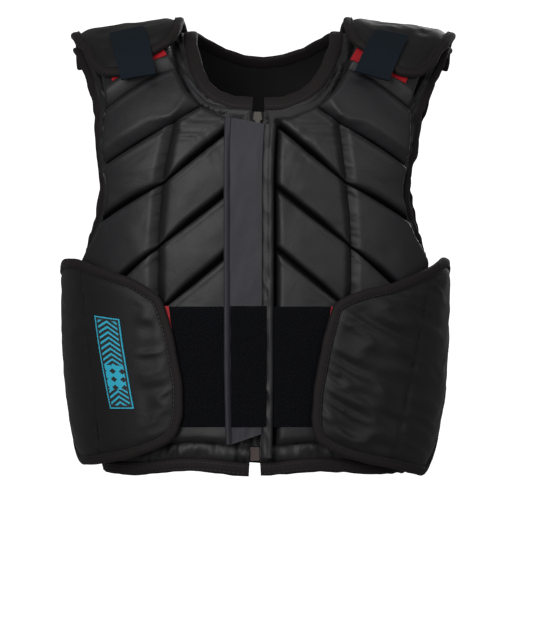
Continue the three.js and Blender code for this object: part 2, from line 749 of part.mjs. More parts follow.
function roundedBox({ width, height, corner }) {
  const shape = new THREE.Shape();
  const [x, y] = [width / 2 - corner, height / 2 - corner];
  shape.absarc(x, y, corner, 0, Math.PI / 2);
  shape.absarc(-x, y, corner, Math.PI / 2, Math.PI);
  shape.absarc(-x, -y, corner, Math.PI, 1.5 * Math.PI);
  shape.absarc(x, -y, corner, 1.5 * Math.PI, 2 * Math.PI);
  shape.closePath();
  return shape;
}

// The outline of the slider with its pull lying flat below it
function sliderOutline({ width, height, corner, pullWidth, pull }) {
  const shape = new THREE.Shape();
  const [x, y] = [width / 2, height / 2];
  shape.moveTo(-pullWidth / 2, -y - pull);
  shape.lineTo(pullWidth / 2, -y - pull);
  shape.lineTo(pullWidth / 2, -y);
  shape.lineTo(x, -y + corner);
  shape.lineTo(x - corner / 2, y);
  shape.lineTo(-x + corner / 2, y);
  shape.lineTo(-x, -y + corner);
  shape.lineTo(-pullWidth / 2, -y);
  shape.closePath();
  return shape;
}

// Stands a plate on the vest at the zip line: its face outwards, its length up the zip
function standOn(mesh, height, lift) {
  mesh.position.copy(offBody(0, height, lift));
  const outwards = bodyNormal(0, height);
  const across = new THREE.Vector3(0, 0, 1).cross(outwards).normalize();
  const upwards = outwards.clone().cross(across);
  mesh.rotation.setFromRotationMatrix(new THREE.Matrix4().makeBasis(across, upwards, outwards));
}

const NYLON = { color: 0x2b2b2e, roughness: 0.55, metalness: 0 };
const BINDING_CLOTH = { color: 0x1e1a1b, roughness: 0.8, metalness: 0 };
const LOOP_PILE = { color: 0x0e0f13, roughness: 1, metalness: 0 };
const PLACKET_CLOTH = { color: 0x38373c, roughness: 0.6, metalness: 0 };
const NAVY = { color: 0x17232c, roughness: 0.8, metalness: 0 };
const RED = { color: 0xb01824, roughness: 0.7, metalness: 0 };
const TEAL = { color: 0x1a9cb8, roughness: 0.7, metalness: 0 };
const ZINC = { color: 0xb9bcc0, roughness: 0.35, metalness: 1 };

const vest = new THREE.Group();

function add(name, geometry, finish) {
  const mesh = new THREE.Mesh(geometry, new THREE.MeshStandardMaterial(finish));
  mesh.name = name;
  vest.add(mesh);
  return mesh;
}

const HANDS = { right: -1, left: 1 };
const PLACKET_SIDES = {
  right: PLACKET_REACH + GAP + PLACKET_BAND,
  left: PLACKET_HINGE + GAP + FOLD_WIDTH,
};
const back = backGrid();
const fronts = { right: frontGrid(HANDS.right), left: frontGrid(HANDS.left) };

add('back_panel', shell(back), NYLON);

for (const [side, hand] of Object.entries(HANDS)) {
  const front = fronts[side];
  const gusset = gussetGrid(hand);
  add(`front_panel_${side}`, shell(front), NYLON);
  add(`side_gusset_${side}`, shell(gusset), NYLON);

  // Armhole: up the front panel, down the back panel, forward along the gusset
  const armStart = front.findIndex((row) => levelAt(row.at(-1).height) >= GUSSET_TOP[0].level);
  const upFront = front.slice(armStart).map((row) => row.at(-1));
  const arm = (row) => (hand > 0 ? row.at(-1) : row[0]);
  const onBack = (row) => levelAt(overBack(arm(row).height));
  const downBack = back.filter((row) => onBack(row) >= BACK_OUTER[1].level).map(arm).reverse();
  const underArm = gusset.at(-1).slice().reverse();
  const armPath = edgePath([...upFront, ...downBack.slice(1), ...underArm.slice(1)], EDGE / 2);
  const armBinding = strip(armPath, {
    width: ARM_BAND, thickness: BINDING, turn: hand, closed: true, gap: TURN_GAP,
  });
  add(`armhole_binding_${side}`, armBinding, BINDING_CLOTH);

  // Waist flap and its binding: back along the lower edge, up the front, along the top
  const flap = waistFlapGrid(side, hand);
  add(`waist_flap_${side}`, shell(flap), NYLON);
  const flapRim = [
    ...flap[0].slice().reverse(),
    ...flap.slice(1, -1).map((row) => row[0]),
    ...flap.at(-1),
  ];
  const flapBinding = strip(edgePath(flapRim, FLAP_SEAT + WAIST_FLAP / 2), {
    width: FLAP_BAND, thickness: WAIST_FLAP, bulge: FLAP_BINDING_BULGE, turn: -hand,
  });
  add(`waist_flap_binding_${side}`, flapBinding, BINDING_CLOTH);

  // Shoulder flap and its binding: forward along the arm side, round the front, and back
  const shoulder = shoulderFlapGrid(hand);
  add(`shoulder_flap_${side}`, shell(shoulder), NYLON);
  const shoulderRim = [
    ...shoulder.slice(1).reverse().map((row) => row.at(-1)),
    ...shoulder[0].slice().reverse(),
    ...shoulder.slice(1).map((row) => row[0]),
  ];
  const shoulderPath = shoulderRim.map((place) => ({ ...place, lift: (place.inner + place.outer) / 2 }));
  const shoulderBinding = strip(shoulderPath, {
    width: FLAP_BAND, thickness: SHOULDER_FLAP, bulge: FLAP_BINDING_BULGE, turn: -hand, gap: SHOULDER_GAP,
  });
  add(`shoulder_flap_binding_${side}`, shoulderBinding, BINDING_CLOTH);

  const strapSeat = (height) => shoulderSeat(height) + SHOULDER_FLAP + FLAP_BINDING_BULGE + LAY;
  const strap = patchGrid(SHOULDER_STRAPS[side], hand, strapSeat, STRAP, 3, 6);
  add(`shoulder_strap_${side}`, shell(strap), NAVY);
  const tapeSeat = (height) => padThickness(levelAt(height)) + GAP;
  const shoulderTape = patchGrid(SHOULDER_TAPES[side], hand, tapeSeat, TAPE, 8, 2);
  add(`shoulder_tape_${side}`, shell(shoulderTape), RED);

  const { outer, bottom, top } = LOOP_PATCHES[side];
  const besidePlacket = angleAt(PLACKET_SIDES[side] + GAP);
  const loopCorners = {
    low: [besidePlacket, outer],
    lowLevel: [bottom, bottom],
    high: [besidePlacket, outer],
    highLevel: [top, top],
  };
  const loop = patchGrid(loopCorners, hand, () => PAD + GAP, LOOP, 5, 5);
  add(`loop_patch_${side}`, shell(loop), LOOP_PILE);
  const redTape = patchGrid(RED_TAPES[side], hand, () => PAD + GAP + LOOP + GAP, TAPE, 1, 3);
  add(`red_tape_${side}`, shell(redTape), RED);

  const tapeEdges = [hand * (ZIP_GAP / 2 - GAP), hand * (TEETH_WIDTH / 2 + GAP)];
  const zipTape = zipStrip(...tapeEdges, straight(ZIP_BOTTOM), straight(ZIP_TOP), 1, 1 + TAPE, 14);
  add(`zip_tape_${side}`, shell(zipTape), BINDING_CLOTH);
}

// Neck binding: from the zip up the right front, round the back, down the left front
const neckStart = fronts.left.findIndex((row) => row[0].angle > angleAt(ZIP_GAP / 2) + 1) - 1;
const upNeck = (side) => fronts[side].slice(neckStart).map((row) => row[0]);
const neckAcross = back.at(-1).filter((place) => Math.abs(place.angle) <= BACK_NECK[4].angle);
const neckPath = edgePath([...upNeck('right'), ...neckAcross, ...upNeck('left').reverse()], EDGE / 2);
const neckBinding = strip(neckPath, { width: NECK_BAND, thickness: BINDING, turn: 1, gap: TURN_GAP });
add('neck_binding', neckBinding, BINDING_CLOTH);

// Hem binding: from the left zip edge round the back to the right zip edge
const hemStart = angleAt(ZIP_GAP / 2);
const hemSteps = 44;
const hemPath = [];
for (let i = 0; i <= hemSteps; i += 1) {
  const angle = mix(hemStart, FULL_TURN - hemStart, i / hemSteps);
  hemPath.push({ angle, height: hemEdge(angle) - HEM_EASE, lift: BINDING / 2 });
}
add('hem_binding', strip(hemPath, { width: HEM_BAND, thickness: BINDING, turn: 1 }), BINDING_CLOTH);

// Placket over the zip, its bound edge and its fold
const placketSeat = PAD + GAP;
const placketBottom = { from: PLACKET_BOTTOM.bound, to: PLACKET_BOTTOM.fold };
const placketTop = { from: PLACKET_TOP.bound, to: PLACKET_TOP.fold };
const placket = zipStrip(
  -PLACKET_REACH, PLACKET_HINGE, placketBottom, placketTop, placketSeat, placketSeat + PLACKET, 16, 3,
);
add('placket', shell(placket), PLACKET_CLOTH);
const boundEdge = zipStrip(
  -PLACKET_REACH - GAP - PLACKET_BAND, -PLACKET_REACH - GAP, straight(PLACKET_BOTTOM.bound),
  straight(PLACKET_TOP.bound), placketSeat, placketSeat + PLACKET + FLAP_BINDING_BULGE, 16,
);
add('placket_binding', shell(boundEdge), BINDING_CLOTH);
const fold = zipStrip(
  PLACKET_HINGE + GAP, PLACKET_HINGE + GAP + FOLD_WIDTH, straight(FOLD_BOTTOM),
  straight(PLACKET_TOP.fold), placketSeat, placketSeat + PLACKET_FOLD, 16, 2,
);
add('placket_fold', shell(fold), PLACKET_CLOTH);
const loopSeat = placketSeat + Math.max(PLACKET, PLACKET_FOLD) + GAP;
const placketLoop = zipStrip(
  -PLACKET_REACH, PLACKET_HINGE + GAP + LOOP_ON_PLACKET.overFold, straight(LOOP_ON_PLACKET.bottom),
  straight(LOOP_ON_PLACKET.top), loopSeat, loopSeat + LOOP, 6, 3,
);
add('loop_patch_placket', shell(placketLoop), LOOP_PILE);

const label = patchGrid(LABEL_PATCH, HANDS.right, () => FLAP_SEAT + WAIST_FLAP + GAP, LABEL, 3, 4);
add('woven_label', shell(label), TEAL);

// Zip chain, slider with its pull, and bottom box
const chain = zipStrip(
  -TEETH_WIDTH / 2, TEETH_WIDTH / 2, straight(ZIP_BOTTOM), straight(ZIP_TOP), 0, TEETH, 14,
);
add('zip_teeth', shell(chain), BINDING_CLOTH);
const slider = add('zip_slider', plate(sliderOutline(SLIDER), SLIDER.thickness), ZINC);
standOn(slider, heightAt(ZIP_TOP) - SLIDER.height / 2 - SLIDER.seat, TEETH + GAP);
const bottomBox = add('zip_bottom_box', plate(roundedBox(BOTTOM_BOX), BOTTOM_BOX.thickness), ZINC);
standOn(bottomBox, heightAt(ZIP_BOTTOM) - BOTTOM_BOX.height / 2 - GAP, 0);

export default vest;
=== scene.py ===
"""A padded body protector for riding, as soft pieces over the solids of its frame.

Sizes in the code are millimetres, as in the solids; meshes are written in metres.
The wearer's right is -X and the front faces -Y.
"""

import logging
import math
from dataclasses import dataclass
from enum import Enum

import bpy
import numpy as np
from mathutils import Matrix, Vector
from numpy.typing import NDArray


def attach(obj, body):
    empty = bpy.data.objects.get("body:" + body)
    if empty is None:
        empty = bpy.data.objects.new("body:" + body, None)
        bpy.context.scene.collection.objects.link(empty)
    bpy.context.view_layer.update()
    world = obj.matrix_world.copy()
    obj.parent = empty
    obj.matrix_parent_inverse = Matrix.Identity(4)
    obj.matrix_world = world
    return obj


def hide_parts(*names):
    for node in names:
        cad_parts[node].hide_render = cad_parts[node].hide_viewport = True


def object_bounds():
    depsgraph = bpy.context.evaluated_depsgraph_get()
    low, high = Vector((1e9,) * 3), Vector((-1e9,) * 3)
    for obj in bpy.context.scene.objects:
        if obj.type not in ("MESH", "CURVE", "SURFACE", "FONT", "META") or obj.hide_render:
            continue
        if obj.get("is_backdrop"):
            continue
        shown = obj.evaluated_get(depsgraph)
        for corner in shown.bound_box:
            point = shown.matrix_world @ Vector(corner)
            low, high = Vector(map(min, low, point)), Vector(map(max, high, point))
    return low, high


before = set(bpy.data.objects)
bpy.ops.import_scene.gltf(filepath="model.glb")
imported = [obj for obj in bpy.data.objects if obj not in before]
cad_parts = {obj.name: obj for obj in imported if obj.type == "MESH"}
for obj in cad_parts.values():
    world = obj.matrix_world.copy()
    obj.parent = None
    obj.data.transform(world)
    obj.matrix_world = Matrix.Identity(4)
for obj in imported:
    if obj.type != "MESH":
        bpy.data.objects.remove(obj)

log = logging.getLogger("body_protector")

Array = NDArray[np.float64]
MM = 0.001

# The torso form, shared with the solids
CHEST = 300.0
RISE = 164.4
FALL = 22.4
CHEST_HALF = 178.0
SHOULDER_HALF = 215.0
FRONT_DEPTH = 124.0
BACK_DEPTH = 122.0
LEAN = 9.0
ROUNDNESS = 2.6
ARCH = (math.pi / 2) * math.sqrt((FRONT_DEPTH**2 + RISE**2) / 2)
REACH = CHEST + ARCH
CROWN = CHEST + RISE

# Thicknesses and widths
PAD = 20.0
SHOULDER_PAD = 11.0
CHANNEL_FLOOR = 6.0
EDGE = 3.0
MARGIN = 14.0
ARM_MARGIN = 17.0
LAY = 0.9
PAD_GAP = 0.4
RED_TAPE = 1.0
PAD_SIDE = 8.0
FLAP_SEAT = 23.8
WAIST_FLAP = 6.0
SHOULDER_FLAP = 7.0
PLACKET_SEAT = 20.4
SIDE_SEAM = 70.0
BACK_SEAM = 105.0
FLAP_SEAM = 112.0
HEM_EDGE = 8.0
HEM_LIFT = 5.0
HEM_SEAM = 19.5
HEM_TAPE = 11.8
ARM_SEAM = 14.5
HEM_ARCH = 45.0

# The shoulder pads thin out between these levels
THINNING = (1.46, 1.95)
# An inner face takes every so many points of the outer one
INNER_STEP = 3

# Tables: level (0 lower edge, 1 chest, 2 shoulder line) against share or angle
WIDTHS = ((0, 0.88), (0.127, 0.935), (0.26, 0.972), (0.45, 0.995), (0.7, 1), (1, 1))
FRONTS = ((0, 0.9), (0.127, 0.92), (0.26, 0.94), (0.45, 0.965), (0.7, 0.99), (1, 1))
BACKS = ((0, 0.92), (0.127, 0.94), (0.26, 0.955), (0.45, 0.975), (0.7, 0.99), (1, 1))
NECK_EDGE = ((1.296, 8.3), (1.338, 14.7), (1.398, 18.2), (1.496, 20.9), (1.682, 22.6), (2, 22))
NECK_CORNER = 1.291
FRONT_OUTER = (
    (0, 70), (0.75, 70), (0.79, 66), (0.85, 59), (0.9, 55.5), (0.95, 53.7), (1.135, 55.2),
    (1.318, 52.9), (1.453, 55.5), (1.614, 59.2), (1.807, 60), (2, 60),
)
UPRIGHT = (
    (0, 30), (0.8, 30), (0.99, 28.7), (1.117, 26.5), (1.22, 24.7), (1.27, 24.9), (1.42, 30),
    (1.6, 37), (2, 40),
)
UPRIGHT_TOP = 1.235
CHEVRONS = (
    (0.802, 0.55, 0.33), (1.013, 0.768, 0.41), (1.242, 0.985, 0.745), (1.325, 1.22, 1.025),
    (1.49, 1.44, 1.25),
)
BACK_OUTER = (
    (0, 75), (0.78, 75), (0.86, 67.5), (1, 60), (1.22, 57), (1.5, 58), (1.75, 60), (2, 60),
)
BACK_NECK_ANGLE = ((0, 0), (0.16, 7), (0.3, 14), (0.42, 19.5), (0.5, 22), (1, 60))
BACK_NECK_LEVEL = ((0, 1.62), (0.16, 1.64), (0.3, 1.71), (0.42, 1.84), (0.5, 2), (1, 2))
BACK_CHEVRONS = ((0.56, 0.36), (0.83, 0.6), (1.1, 0.87), (1.37, 1.16))
BACK_UPRIGHT = 0.42
GUSSET_TOP = ((70, 0.75), (78, 0.735), (90, 0.735), (105, 0.78))


class Side(Enum):
    """The wearer's side; the value is the sign of X."""

    RIGHT = -1
    LEFT = 1

    @property
    def word(self) -> str:
        """The side's name as the nodes spell it."""
        return self.name.lower()


# Waist flaps: share from the free edge to the seam, then the lower and upper level
WAIST_OUTLINES = {
    Side.RIGHT: (
        (0, 0.152, 0.583), (0.035, 0.125, 0.612), (0.1, 0.1, 0.648), (0.2, 0.078, 0.675),
        (0.36, 0.06, 0.714), (0.5, 0.056, 0.715), (0.62, 0.085, 0.7), (0.75, 0.13, 0.69),
        (0.88, 0.165, 0.68), (1, 0.18, 0.675),
    ),
    Side.LEFT: (
        (0, 0.135, 0.563), (0.035, 0.108, 0.587), (0.1, 0.082, 0.608), (0.2, 0.06, 0.63),
        (0.36, 0.034, 0.682), (0.5, 0.018, 0.722), (0.62, 0.08, 0.715), (0.75, 0.15, 0.69),
        (0.88, 0.18, 0.68), (1, 0.19, 0.675),
    ),
}
WAIST_FRONTS = {
    Side.RIGHT: ((0, 26.5), (0.12, 24.8), (0.35, 24.2), (0.75, 26.5), (1, 29.5)),
    Side.LEFT: ((0, 21.5), (0.12, 20.2), (0.35, 20.3), (0.75, 22.8), (1, 25.2)),
}
# The stitched line that runs up each waist flap, as level against angle
WAIST_SEAMS = {
    Side.RIGHT: ((0.0, 53.4), (0.2, 52.0), (0.31, 51.3), (0.52, 53.6), (0.72, 56.4)),
    Side.LEFT: ((0.0, 45.2), (0.26, 47.9), (0.63, 54.4), (0.72, 55.6)),
}
SHOULDER_FRONT = (
    (0, 1.6), (0.12, 1.565), (0.3, 1.52), (0.5, 1.46), (0.7, 1.475), (0.87, 1.55), (1, 1.68),
)
SHOULDER_BACK = 2.36
SHOULDER_NECK_SIDE = ((0, 27), (0.1, 25.2), (0.3, 24.3), (0.55, 24), (1, 24))
SHOULDER_ARM_SIDE = ((0, 53), (0.1, 56), (0.3, 58.8), (0.55, 59.6), (1, 59))


@dataclass(frozen=True)
class Patch:
    """A four-cornered piece: angles and levels at its lower and its upper end."""

    low: tuple[float, float]
    low_level: tuple[float, float]
    high: tuple[float, float]
    high_level: tuple[float, float]


STRAPS = {
    Side.RIGHT: Patch((29.3, 39.2), (1.4, 1.394), (33.5, 44.4), (1.715, 1.7)),
    Side.LEFT: Patch((26.5, 36.2), (1.41, 1.388), (31.4, 41.5), (1.67, 1.662)),
}
SHOULDER_TAPES = {
    Side.RIGHT: Patch((27.2, 43.6), (1.53, 1.425), (29.5, 44.0), (1.62, 1.53)),
    Side.LEFT: Patch((25.4, 42.6), (1.5, 1.418), (28.0, 44.0), (1.62, 1.52)),
}
RED_TAPES = {
    Side.RIGHT: Patch((24.6, 29), (0.42, 0.42), (26.2, 31), (0.572, 0.572)),
    Side.LEFT: Patch((22.6, 27), (0.5, 0.5), (23.4, 28), (0.57, 0.57)),
}
LOOP_OUTER = {Side.RIGHT: 33.0, Side.LEFT: 30.0}
LOOP_LEVELS = (0.163, 0.57)
LABEL_MIDDLE = 43.0
LABEL = Patch((37.0, 44.9), (0.229, 0.229), (40.3, 49.0), (0.528, 0.54))


def ease(t: Array) -> Array:
    """A smooth step.

    Args:
        t: Values; those outside 0 to 1 are cut off.

    Returns:
        3t^2 - 2t^3.
    """
    t = np.clip(t, 0.0, 1.0)
    return t * t * (3 - 2 * t)


def mix(a: Array | float, b: Array | float, t: Array | float) -> Array:
    """The value a share t of the way from a to b."""
    return a + (np.asarray(b) - a) * t


def rounded_rise(t: Array, power: float) -> Array:
    """The rounded side of a pad, from 0 at its foot to 1 on top.

    Args:
        t: Distance from the foot as a share of the side's width.
        power: 2 is a quarter circle; less is a softer slope.

    Returns:
        (1 - (1 - t)^p)^(1/p).
    """
    left = 1 - np.clip(t, 0.0, 1.0)
    return np.clip(1 - left**power, 0.0, 1.0) ** (1 / power)


def level_height(level: Array | float) -> Array:
    """Height along the surface, in millimetres, of a level."""
    level = np.asarray(level, float)
    return np.where(level <= 1, level * CHEST, CHEST + (level - 1) * ARCH)


def height_level(height: Array | float) -> Array:
    """Level of a height along the surface."""
    height = np.asarray(height, float)
    return np.where(height <= CHEST, height / CHEST, 1 + (height - CHEST) / ARCH)


class Curve:
    """A table read on a line that is rounded at its rows."""

    def __init__(self, rows: tuple[tuple[float, float], ...], soft: float = 0.0) -> None:
        """Samples the table finely and rounds its corners.

        Args:
            rows: Pairs of place and value, in rising order of place.
            soft: Width of the rounding, in units of place; 0 keeps straight lines.
        """
        samples = 601
        at, value = np.array(rows, float).T
        self.at = np.linspace(at[0], at[-1], samples)
        self.value = np.interp(self.at, at, value)
        if soft > 0:
            reach = max(int(round(soft / (self.at[1] - self.at[0]))), 1)
            bell = np.hanning(2 * reach + 3)[1:-1]
            first, last = self.value[0], self.value[-1]
            before = 2 * first - self.value[1 : reach + 1][::-1]
            after = 2 * last - self.value[-reach - 1 : -1][::-1]
            padded = np.concatenate([before, self.value, after])
            self.value = np.convolve(padded, bell / bell.sum(), mode="valid")

    def __call__(self, at: Array | float) -> Array:
        """The value at a place, held level beyond both ends."""
        return np.interp(at, self.at, self.value)


class Torso:
    """The inside of the vest: rounded-square sections that close in an arch on the shoulders."""

    def __init__(self) -> None:
        """Reads the tables of half widths and depths."""
        self.width, self.front, self.back = (Curve(rows, 0.09) for rows in (WIDTHS, FRONTS, BACKS))

    def point(self, angle: Array, height: Array) -> Array:
        """Points on the inside of the vest.

        Args:
            angle: Degrees from the zip, or from the back's middle where height is over REACH.
            height: Millimetres along the surface from the lower edge, and on down the back.

        Returns:
            Points in millimetres, one for each pair.
        """
        angle, height = np.broadcast_arrays(np.asarray(angle, float), np.asarray(height, float))
        over = height > REACH
        run = np.where(over, 2 * REACH - height, height)
        sine, cosine = np.sin(np.radians(angle)), np.cos(np.radians(angle))
        power = ROUNDNESS
        radius = (np.abs(sine) ** power + np.abs(cosine) ** power) ** (-1 / power)
        forward = np.where(over, -1.0, 1.0) * radius * cosine
        level = run / CHEST
        arch = np.clip((run - CHEST) / ARCH, 0, 1)
        rise, close = np.sin(arch * math.pi / 2), np.cos(arch * math.pi / 2)
        half = mix(CHEST_HALF * self.width(level), SHOULDER_HALF, arch)
        front, back = FRONT_DEPTH * self.front(level), BACK_DEPTH * self.back(level)
        depth = np.where(forward > 0, front, back)
        x = half * radius * sine
        line = CROWN - FALL * (x / SHOULDER_HALF) ** 2
        z = np.where(run <= CHEST, run, mix(CHEST, line, rise))
        lean = LEAN * ease((z - CHEST) / RISE)
        return np.stack([x + lean, -depth * close * forward, z - CROWN], axis=-1)

    def normal(self, angle: Array, height: Array) -> Array:
        """Unit normals of the surface, outwards.

        Args:
            angle: Angle of each place, as in point.
            height: Height of each place.

        Returns:
            The cross product of small steps around and up, made one long.
        """
        step = 0.05
        angle, height = np.asarray(angle, float), np.asarray(height, float)
        around = self.point(angle + step, height) - self.point(angle - step, height)
        up = self.point(angle, height + step) - self.point(angle, height - step)
        normal = np.cross(around, up)
        return normal / np.linalg.norm(normal, axis=-1, keepdims=True)

    def off(self, angle: Array, height: Array, distance: Array | float) -> Array:
        """Points at a distance outside the surface."""
        out = np.asarray(distance, float)
        return self.point(angle, height) + self.normal(angle, height) * out[..., None]


TORSO = Torso()


class Noise:
    """Smooth noise between -1 and 1 on a seeded lattice of random values."""

    SIZE = 128

    def __init__(self, seed: int) -> None:
        """Draws the lattice."""
        self.lattice = np.random.default_rng(seed).uniform(-1, 1, (self.SIZE, self.SIZE))

    def __call__(self, x: Array | float, y: Array | float) -> Array:
        """The noise at places.

        Args:
            x: Places across, in cells of the lattice, which repeats.
            y: Places up.

        Returns:
            A smooth mix of the four values round each place.
        """
        x, y = np.broadcast_arrays(np.asarray(x, float), np.asarray(y, float))
        column, row = np.floor(x).astype(int), np.floor(y).astype(int)
        across, up = ease(x - column), ease(y - row)

        def corner(dx: int, dy: int) -> Array:
            """Values at one corner of the cells."""
            return self.lattice[(row + dy) % self.SIZE, (column + dx) % self.SIZE]

        low = mix(corner(0, 0), corner(1, 0), across)
        high = mix(corner(0, 1), corner(1, 1), across)
        return mix(low, high, up)


@dataclass(frozen=True)
class Folds:
    """Soft folds in cloth: their height and size in millimetres, and their turn in degrees."""

    height: float
    across: float
    along: float
    turn: float = 0.0
    crease: bool = False
    seed: int = 1

    def at(self, u: Array, v: Array) -> Array:
        """Heights of the folds.

        Args:
            u: Millimetres across the cloth.
            v: Millimetres along it.

        Returns:
            Height in millimetres; creases are ridged noise, 1 - 2.2|n|.
        """
        cosine, sine = math.cos(math.radians(self.turn)), math.sin(math.radians(self.turn))
        x, y = u * cosine + v * sine, v * cosine - u * sine
        value = Noise(self.seed)(x / self.across + 17.3, y / self.along + 5.1)
        if self.crease:
            value = 1 - 2.2 * np.abs(value)
        return self.height * value


def all_folds(folds: tuple[Folds, ...], u: Array, v: Array) -> Array:
    """The sum of several kinds of folds at the same places."""
    total = np.zeros(np.broadcast(u, v).shape)
    for kind in folds:
        total = total + kind.at(u, v)
    return total


def nearest(points: Array, line: Array) -> Array:
    """Distance from each point to a line given as close points.

    Args:
        points: Grid of points, (rows, columns, 3).
        line: Points along the line, (n, 3).

    Returns:
        Distances, (rows, columns).
    """
    flat = points.reshape(-1, 3)
    result = np.empty(len(flat))
    chunk = 4096
    for start in range(0, len(flat), chunk):
        part = flat[start : start + chunk, None, :] - line[None, :, :]
        result[start : start + chunk] = np.sqrt((part**2).sum(-1).min(1))
    return result.reshape(points.shape[:-1])


def fine_steps(length: float, fine: float, coarse: float, count_of: int = 1) -> Array:
    """Shares from 0 to 1 that lie close together near both ends.

    Args:
        length: Millimetres to divide.
        fine: Step at the ends.
        coarse: Step in the middle.
        count_of: The number of steps is a multiple of this.

    Returns:
        Shares, with both ends.
    """
    reach = 14.0
    places = np.linspace(0, length, 2000)
    end = np.minimum(places, length - places)
    density = 1 / mix(fine, coarse, ease(end / reach))
    total = np.concatenate([[0], np.cumsum((density[1:] + density[:-1]) / 2 * np.diff(places))])
    count = max(count_of, int(round(total[-1] / count_of)) * count_of)
    return np.interp(np.linspace(0, total[-1], count + 1), total, places) / length


@dataclass
class Cloth:
    """A piece of cloth or a pad over a grid of places on the torso.

    angle and height give the place, inner and outer the distances of its faces from the
    torso, all with the shape (rows, columns). groove is painted shade: 1 where the outer face
    lies in the shadow of a sewn groove, and there the cloth is painted near black.
    """

    name: str
    angle: Array
    height: Array
    inner: Array
    outer: Array
    groove: Array | None = None

    def base(self) -> Array:
        """Points of the grid on the torso itself."""
        return TORSO.point(self.angle, self.height)

    def measures(self, points: Array | None = None) -> tuple[Array, Array]:
        """Millimetres across and along the cloth at each place.

        Args:
            points: The grid to measure, or None for the one on the torso.

        Returns:
            Sums of the distances between neighbours, across and along.
        """
        grid = self.base() if points is None else points
        across, along = np.zeros(self.angle.shape), np.zeros(self.angle.shape)
        across[:, 1:] = np.cumsum(np.linalg.norm(np.diff(grid, axis=1), axis=-1), axis=1)
        along[1:, :] = np.cumsum(np.linalg.norm(np.diff(grid, axis=0), axis=-1), axis=0)
        return across, along

    def rim_distance(self) -> Array:
        """Millimetres from each place to the nearest border."""
        u, v = self.measures()
        return np.minimum(np.minimum(u, u[:, -1:] - u), np.minimum(v, v[-1:] - v))

    def flat(self) -> tuple[tuple[float, float], float]:
        """The cut of the cloth before it was sewn.

        Returns:
            Width and length in metres, and the area in square metres.
        """
        grid = TORSO.off(self.angle, self.height, (self.inner + self.outer) / 2)
        across, along = self.measures(grid)
        one, two = grid[1:, 1:] - grid[:-1, :-1], grid[1:, :-1] - grid[:-1, 1:]
        area = float(np.linalg.norm(np.cross(one, two), axis=-1).sum() / 2) * MM * MM
        width, length = float(across[:, -1].max()) * MM, float(along[-1, :].max()) * MM
        return (width, length), min(area, width * length)

    def build(
        self, material: bpy.types.Material, inner_step: int = 1, unit_uv: bool = False
    ) -> bpy.types.Object:
        """A closed wall: outer face, inner face and rim.

        Args:
            material: Its finish.
            inner_step: The inner face takes every so many rows and columns.
            unit_uv: Whether the UVs run from 0 to 1 instead.

        Returns:
            The mesh object, with UVs in metres of cloth.
        """
        outer = TORSO.off(self.angle, self.height, self.outer)
        across, along = self.measures()
        uv = np.stack([across, along], axis=-1) * MM
        rows, columns = self.angle.shape
        if unit_uv:
            shares = np.meshgrid(np.linspace(0, 1, columns), np.linspace(0, 1, rows))
            uv = np.stack(shares, axis=-1)
        step = inner_step
        coarse = (slice(None, None, step), slice(None, None, step))
        inner = TORSO.off(self.angle[coarse], self.height[coarse], self.inner[coarse])
        few_rows, few = inner.shape[:2]
        points = np.concatenate([outer.reshape(-1, 3), inner.reshape(-1, 3)])
        coordinates = np.concatenate([uv.reshape(-1, 2), uv[coarse].reshape(-1, 2)])
        top = grid_quads(rows, columns)
        under = grid_quads(few_rows, few, rows * columns)[:, ::-1]
        rim_out, rim_in = rim_of(rows, columns), rim_of(few_rows, few) + rows * columns
        count = len(rim_out)
        here = np.arange(count)
        near = rim_in[here // step]
        tris = [np.stack([rim_out[here], near, rim_out[(here + 1) % count]], axis=1)]
        ends = here[(here + 1) % step == 0]
        after = rim_in[(ends // step + 1) % len(rim_in)]
        tris.append(np.stack([rim_out[(ends + 1) % count], rim_in[ends // step], after], axis=1))
        quads = np.concatenate([top, under])
        rim = np.concatenate(tris)
        if outward(points, quads) < 0:
            quads, rim = quads[:, ::-1], rim[:, ::-1]
        piece = mesh_object(self.name, points, quads, rim, coordinates, material)
        # The painted groove shade goes on the outer face's points, for the material to darken
        if self.groove is not None:
            depth = np.concatenate([self.groove.ravel(), np.zeros(inner[..., 0].size)])
            piece.data.attributes.new("groove", "FLOAT", "POINT").data.foreach_set(
                "value", depth.astype(np.float32)
            )
        return piece


def grid_quads(rows: int, columns: int, start: int = 0) -> NDArray[np.int64]:
    """Faces of a grid of points that are numbered row by row from start."""
    corner = (np.arange(rows - 1)[:, None] * columns + np.arange(columns - 1)).ravel() + start
    return np.stack([corner, corner + 1, corner + columns + 1, corner + columns], axis=1)


def rim_of(rows: int, columns: int) -> NDArray[np.int64]:
    """Numbers of a grid's border points, in order round it."""
    grid = np.arange(rows * columns).reshape(rows, columns)
    return np.concatenate([grid[0, :-1], grid[:-1, -1], grid[-1, :0:-1], grid[:0:-1, 0]])


def outward(points: Array, quads: NDArray[np.int64]) -> float:
    """Above zero if the faces of a closed shape point out."""
    middle = points.mean(axis=0)
    a, b, c, d = (points[quads[:, i]] - middle for i in range(4))
    return float((np.cross(c - a, d - b) * (a + b + c + d)).sum())


BOX_CORNERS = np.array([(x, y, z) for x in (-1, 1) for y in (-1, 1) for z in (-1, 1)], float)
BOX_FACES = np.array([
    (0, 1, 3, 2), (4, 6, 7, 5), (0, 4, 5, 1), (2, 3, 7, 6), (0, 2, 6, 4), (1, 5, 7, 3)
])
NO_TRIS = np.empty((0, 3), int)


